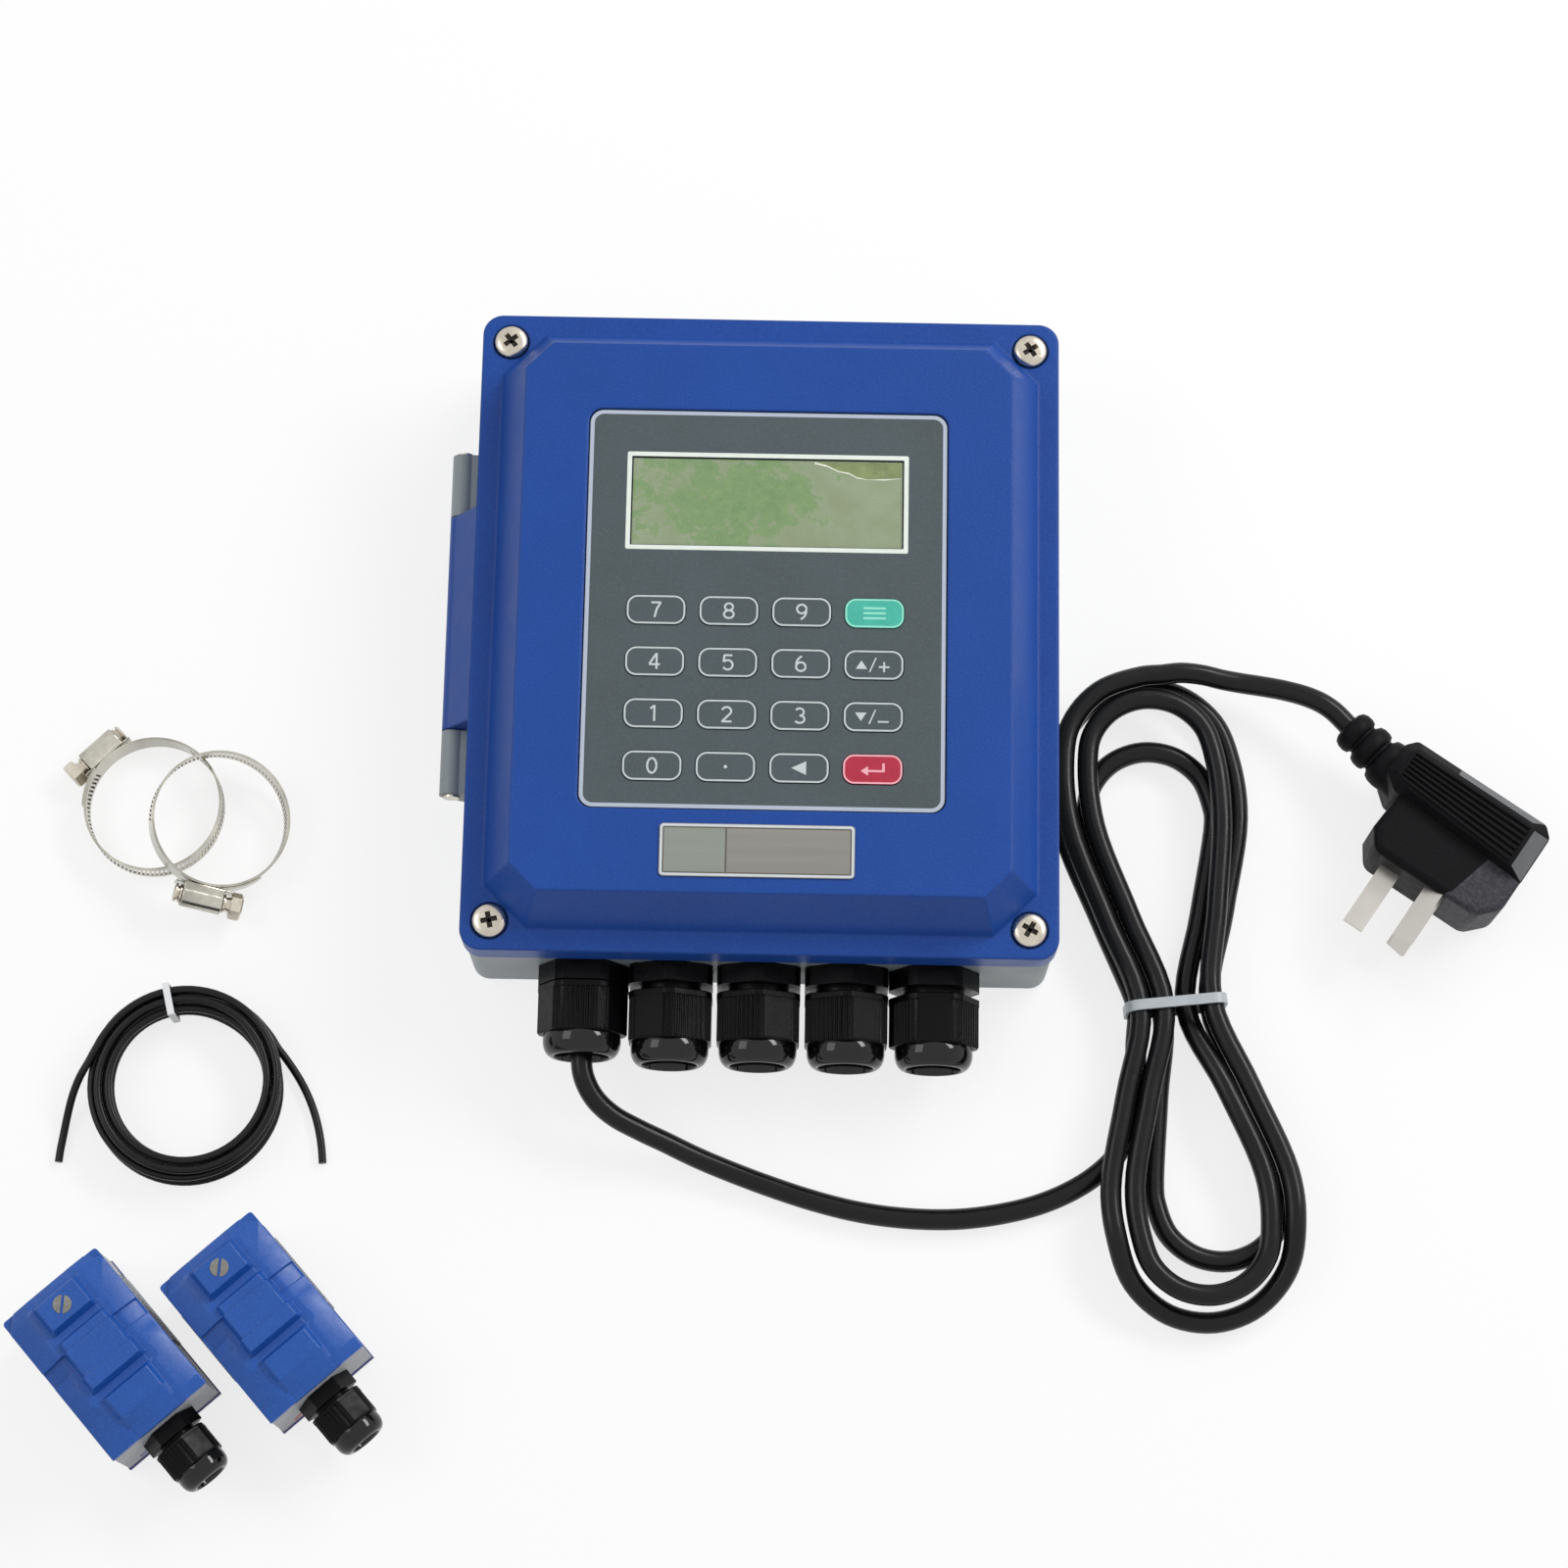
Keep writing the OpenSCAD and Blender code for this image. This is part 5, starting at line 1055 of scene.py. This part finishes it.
housing_frames = [f @ rotate("Z", turn) @ shift(23.8, 0, 4)
                  for f, turn in zip(clamp_frames, HOUSING_TURNS)]
outer = arc(0, 0, 3.55, 3.95, -111.6, 111.6, 32)
outer += [(-3.3, 3.95), (-3.5, 3.7), (-3.5, -3.7), (-3.3, -3.95)]
turns = [atan2(y, x) for x, y in outer]
inner = [(2.98 * cos(a), 2.98 * sin(a)) for a in turns]
bands, saddles = Build(), Build()
for f, h, turn in zip(clamp_frames, housing_frames, HOUSING_TURNS):
    slotted_band(bands, f, turn + 16)
    tail = [arc(0, 0, r, r, turn + 14, turn + 47, 15) for r in (20.42, 21)]
    bands.prism(tail[0] + tail[1][::-1], 0.4, 7.6, f)
    saddles.ring(outer, inner, -6, 6, h @ rotate("X", 90))
    for side in (-6, 6):
        saddles.block(-3.6, -3.1, side - 2.6, side + 2.6, -3.4, 3.4, h)
bands.make("clamp_bands_slotted", "stainless", slot="stainless",
           replaces=["clamp_bands"], smooth=20)
saddles.make("clamp_saddles", "stainless", slot="stainless",
             replaces=["clamp_housings"], smooth=36, bevel=(0.25, 2, 50))

thread = [(2.2, -8.3), (2.4, -8.2)]
for k in range(12):
    z = -8 + WORM_PITCH * k
    thread += [(2.75, z), (2.75, z + 0.5), (2.1, z + 0.75), (2.1, z + 1.05)]
thread += [(2.3, 8), (2.3, 8.4), (3.3, 8.4), (3.3, 9)]
hexagon, crown = (arc(0, 0, r, r, 0, 300, 5) for r in (4.04, 3.6))
for h, number in zip(housing_frames, "12"):
    m, body = h @ rotate("X", 90), "clamp_screw_" + number
    worm = Build().lathe([(r, -z) for r, z in thread], 32, m)
    worm.prism(hexagon, -11.4, -8.6, m).prism(crown, -11.9, -11.4, m, hexagon).make(
        "clamp_worm_" + number, "nickel", body, slot="steel", replaces=[body], smooth=36)

# Inside: parts on the main board, terminal screws, wires and flat cable

BOARD_TOP = 10
BOARD_W, BOARD_H, BOARD_Y = 138, 144, 5
POLES = 12
POLE_PITCH = 8
POLE_X = -44
CHIP_LEADS = 11


def on_board(share_x, share_y):
    return shift(share_x * BOARD_W, BOARD_Y + share_y * BOARD_H, BOARD_TOP)


supply = Build()
m = on_board(0.275, 0.285)
supply.prism(rounded(46, 32, 1.2, steps=3), 0, 16.4, m)
supply.prism(rounded(42, 28, 1, steps=3), 16.4, 17, m)
for x in (-18, -10, 10, 18):
    supply.block(x - 0.4, x + 0.4, -16.6, -15.8, 0, 3, m)
supply.make("supply_module", "module_black", slot="parts_black",
            replaces=["board_components"], bevel=(0.4, 2, 30))
relays, cans, can_tops, chips, legs = (Build() for _ in range(5))
for place in ((0.348, -0.16), (0.348, -0.27)):
    relays.prism(rounded(19, 10, 0.8, steps=3), 0, 12.6, on_board(*place))
    relays.prism(rounded(17, 8, 0.6, steps=3), 12.6, 13, on_board(*place))
relays.make("relays", "relay_white", smooth=30)
for place in ((-0.03, 0.36), (-0.15, 0.39)):
    m = on_board(*place)
    cans.lathe([(5.6, 0), (5.9, 0.4), (5.9, 1.6), (5.5, 2.1), (5.9, 2.6), (5.9, 17.4),
                (5.5, 17.8), (4.9, 17.8)], 40, m)
    can_tops.lathe([(4.9, 17), (4.9, 17.7), (4.6, 17.8), (0.01, 17.75)], 40, m)
    for turn in (0, 90):
        legs.block(-4.2, 4.2, -0.12, 0.12, 17.6, 17.85, m @ rotate("Z", turn))
cans.make("capacitors", "can_blue", smooth=40)
can_tops.make("capacitor_tops", "bezel_metal", smooth=40)
for place in ((-0.1, 0.2), (0.058, -0.076), (-0.188, -0.174)):
    m = on_board(*place)
    chips.prism(rounded(13.6, 13.6, 0.3, steps=2), 0.2, 1.55, m,
                rounded(13.2, 13.2, 0.3, steps=2))
    for turn in range(4):
        for k in range(CHIP_LEADS):
            v = k - CHIP_LEADS // 2
            legs.block(6.6, 7.9, v - 0.2, v + 0.2, 0, 0.5, m @ rotate("Z", 90 * turn))
chips.make("chips", "module_black")
m = shift(-52, 24, BOARD_TOP)
outer, inner = plan_box(4.5, 17), plan_box(3.3, 15.6)
Build().ring(outer, inner, 0, 9, m).prism(inner, 0, 6.5, m).make(
    "main_header", "module_black")
legs.make("component_leads", "pin_metal", smooth=0)
strip_screws = Build()
for k in range(POLES):
    m = shift(POLE_X + POLE_PITCH * k, -59, BOARD_TOP + 12.75) @ rotate("Z", 17 * k)
    strip_screws.lathe([(1.85, 0), (1.85, 0.7), (1.6, 0.9), (0.3, 0.95)], 20, m)
strip_screws.make("terminal_screws", "steel", slot="steel", smooth=30)


def sweep(points, r, n):
    """Round tube along points, capped at both ends."""
    side = (points[1] - points[0]).normalized().orthogonal().normalized()
    rows = []
    for p, t in zip(points, tangents(points)):
        side = (side - t * side.dot(t)).normalized()
        up = t.cross(side)
        turns = [tau * k / n for k in range(n)]
        rows.append([p + r * (cos(a) * side + sin(a) * up) for a in turns])
    return Build().tube(rows)


SHEATH_LEN = 38.9
sheath_end = Vector((GLAND_X[0], -77, GLAND_Z))
sweep([sheath_end - Vector((0, SHEATH_LEN * k / 8, 0)) for k in range(9)], 3.08, 24).make(
    "mains_sheath", "sheath_black", slot="cord_pvc", replaces=["mains_wires"])
for i, name in enumerate(WIRES):
    start = Vector((GLAND_X[0] + (i - 1) * 2.2, sheath_end.y, GLAND_Z))
    end = Vector((POLE_X + POLE_PITCH * i, -64.4, 15))
    step = Vector((0, (end.y - start.y) / 4, 0))
    route = [start - Vector((0, 0.4, 0)), start + step, (start + end) / 2, end - step, end]
    sweep(smooth_line(route, 5), 0.98, 12).make(
        "mains_wire_" + name, "wire_" + name, slot="cord_pvc")

RIBBON_PATH = [(-52, 19), (-52, 23), (-68, 23), (-68, 37), (-52, 37), (-52, 42)]
RIBBON_BEND = 1.8
RIBBON_HALF = 0.45
RIBBON_Y = 9
RIBBON_W = 30


def rounded_path(points, r, steps=6):
    """Path in the plane with each corner rounded."""
    out = [Vector(points[0])]
    for a, b, c in zip(points, points[1:], points[2:]):
        a, b, c = Vector(a), Vector(b), Vector(c)
        u, v = (a - b).normalized(), (c - b).normalized()
        centre = b + (u + v) * r
        p, q = b + u * r, b + v * r
        out += [centre + (p - centre).slerp(q - centre, k / steps) for k in range(steps + 1)]
    return out + [Vector(points[-1])]


def quads(starts, u, v):
    """Faces spanned by two steps through the list of points."""
    return [[a, a + u, a + u + v, a + v] for a in starts]


line = rounded_path(RIBBON_PATH, RIBBON_BEND)
dense = []
for a, b in zip(line, line[1:]):
    count = max(1, int((b - a).length))
    dense += [a + (b - a) * k / count for k in range(count)]
dense.append(line[-1])
cols = RIBBON_W + 1
verts, faces = [], []
for p, t in zip(dense, tangents(dense)):
    s = Vector((-t.y, t.x)) * RIBBON_HALF
    for q in (p + s, p - s):
        verts += [(q.x, RIBBON_Y + k, q.y) for k in range(cols)]
row = 2 * cols
last = row * (len(dense) - 1)
for a in range(0, last, row):
    faces += quads([a + k for k in range(row) if k % cols < RIBBON_W], 1, row)
    faces += quads([a, a + RIBBON_W], cols, row)
for a in (0, last):
    faces += quads(range(a, a + RIBBON_W), 1, cols)
me = mesh("flat_cable", verts, faces)
uv = me.uv_layers.new(name="across")
for loop in me.loops:
    y = me.vertices[loop.vertex_index].co.y / MM
    uv.data[loop.index].uv = ((y - RIBBON_Y) / RIBBON_W, 0.5)
me.materials.append(looks["ribbon"])
me.shade_smooth()
flat_cable = put("flat_cable", me)
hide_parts("ribbon_cable")
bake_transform(flat_cable)


# Floor, light and background

FLOOR_HALF = 3
FLOOR_Z = -0.0002
FLOOR_COLOR = (0.94, 0.94, 0.94, 1)
FLOOR_WHITE_SHARE = 0.78
WORLD_LIGHT = 0.5

floor_mesh = bpy.data.meshes.new("floor")
floor_mesh.from_pydata(
    [(x, y, FLOOR_Z) for x, y in plan_box(FLOOR_HALF, FLOOR_HALF)], [], [(0, 1, 2, 3)])
floor = put("floor", floor_mesh)
floor_white = bpy.data.materials.new("floor_white")
ground = Nodes(floor_white, "OutputMaterial")
ground.finish(
    ground.math("MULTIPLY", ground.seen_ray(), FLOOR_WHITE_SHARE),
    ground.node("BsdfDiffuse", Color=FLOOR_COLOR),
    ground.node("Emission", Color=WHITE, Strength=1))
floor_mesh.materials.append(floor_white)

scene.world = bpy.data.worlds.new("world")
sky = Nodes(scene.world, "OutputWorld")
sky.finish(
    sky.seen_ray(), sky.node("Background", Color=WHITE, Strength=WORLD_LIGHT),
    sky.node("Background", Color=WHITE, Strength=1))


def area_light(name, place, aim, size, power):
    data = bpy.data.lights.new(name, "AREA")
    data.shape = "RECTANGLE"
    data.size, data.size_y = size
    data.energy = power
    obj = put(name, data)
    obj.location = place
    obj.rotation_euler = (Vector(aim) - Vector(place)).to_track_quat("-Z", "Y").to_euler()


area_light("key_light", (1, 0.75, 1.05), (0, -0.02, 0), (1.3, 0.4), 18.5)
area_light("fill_light", (-1, 0.1, 1.05), (0, -0.05, 0), (0.8, 0.6), 3.6)

bpy.context.scene.view_settings.view_transform = "Standard"
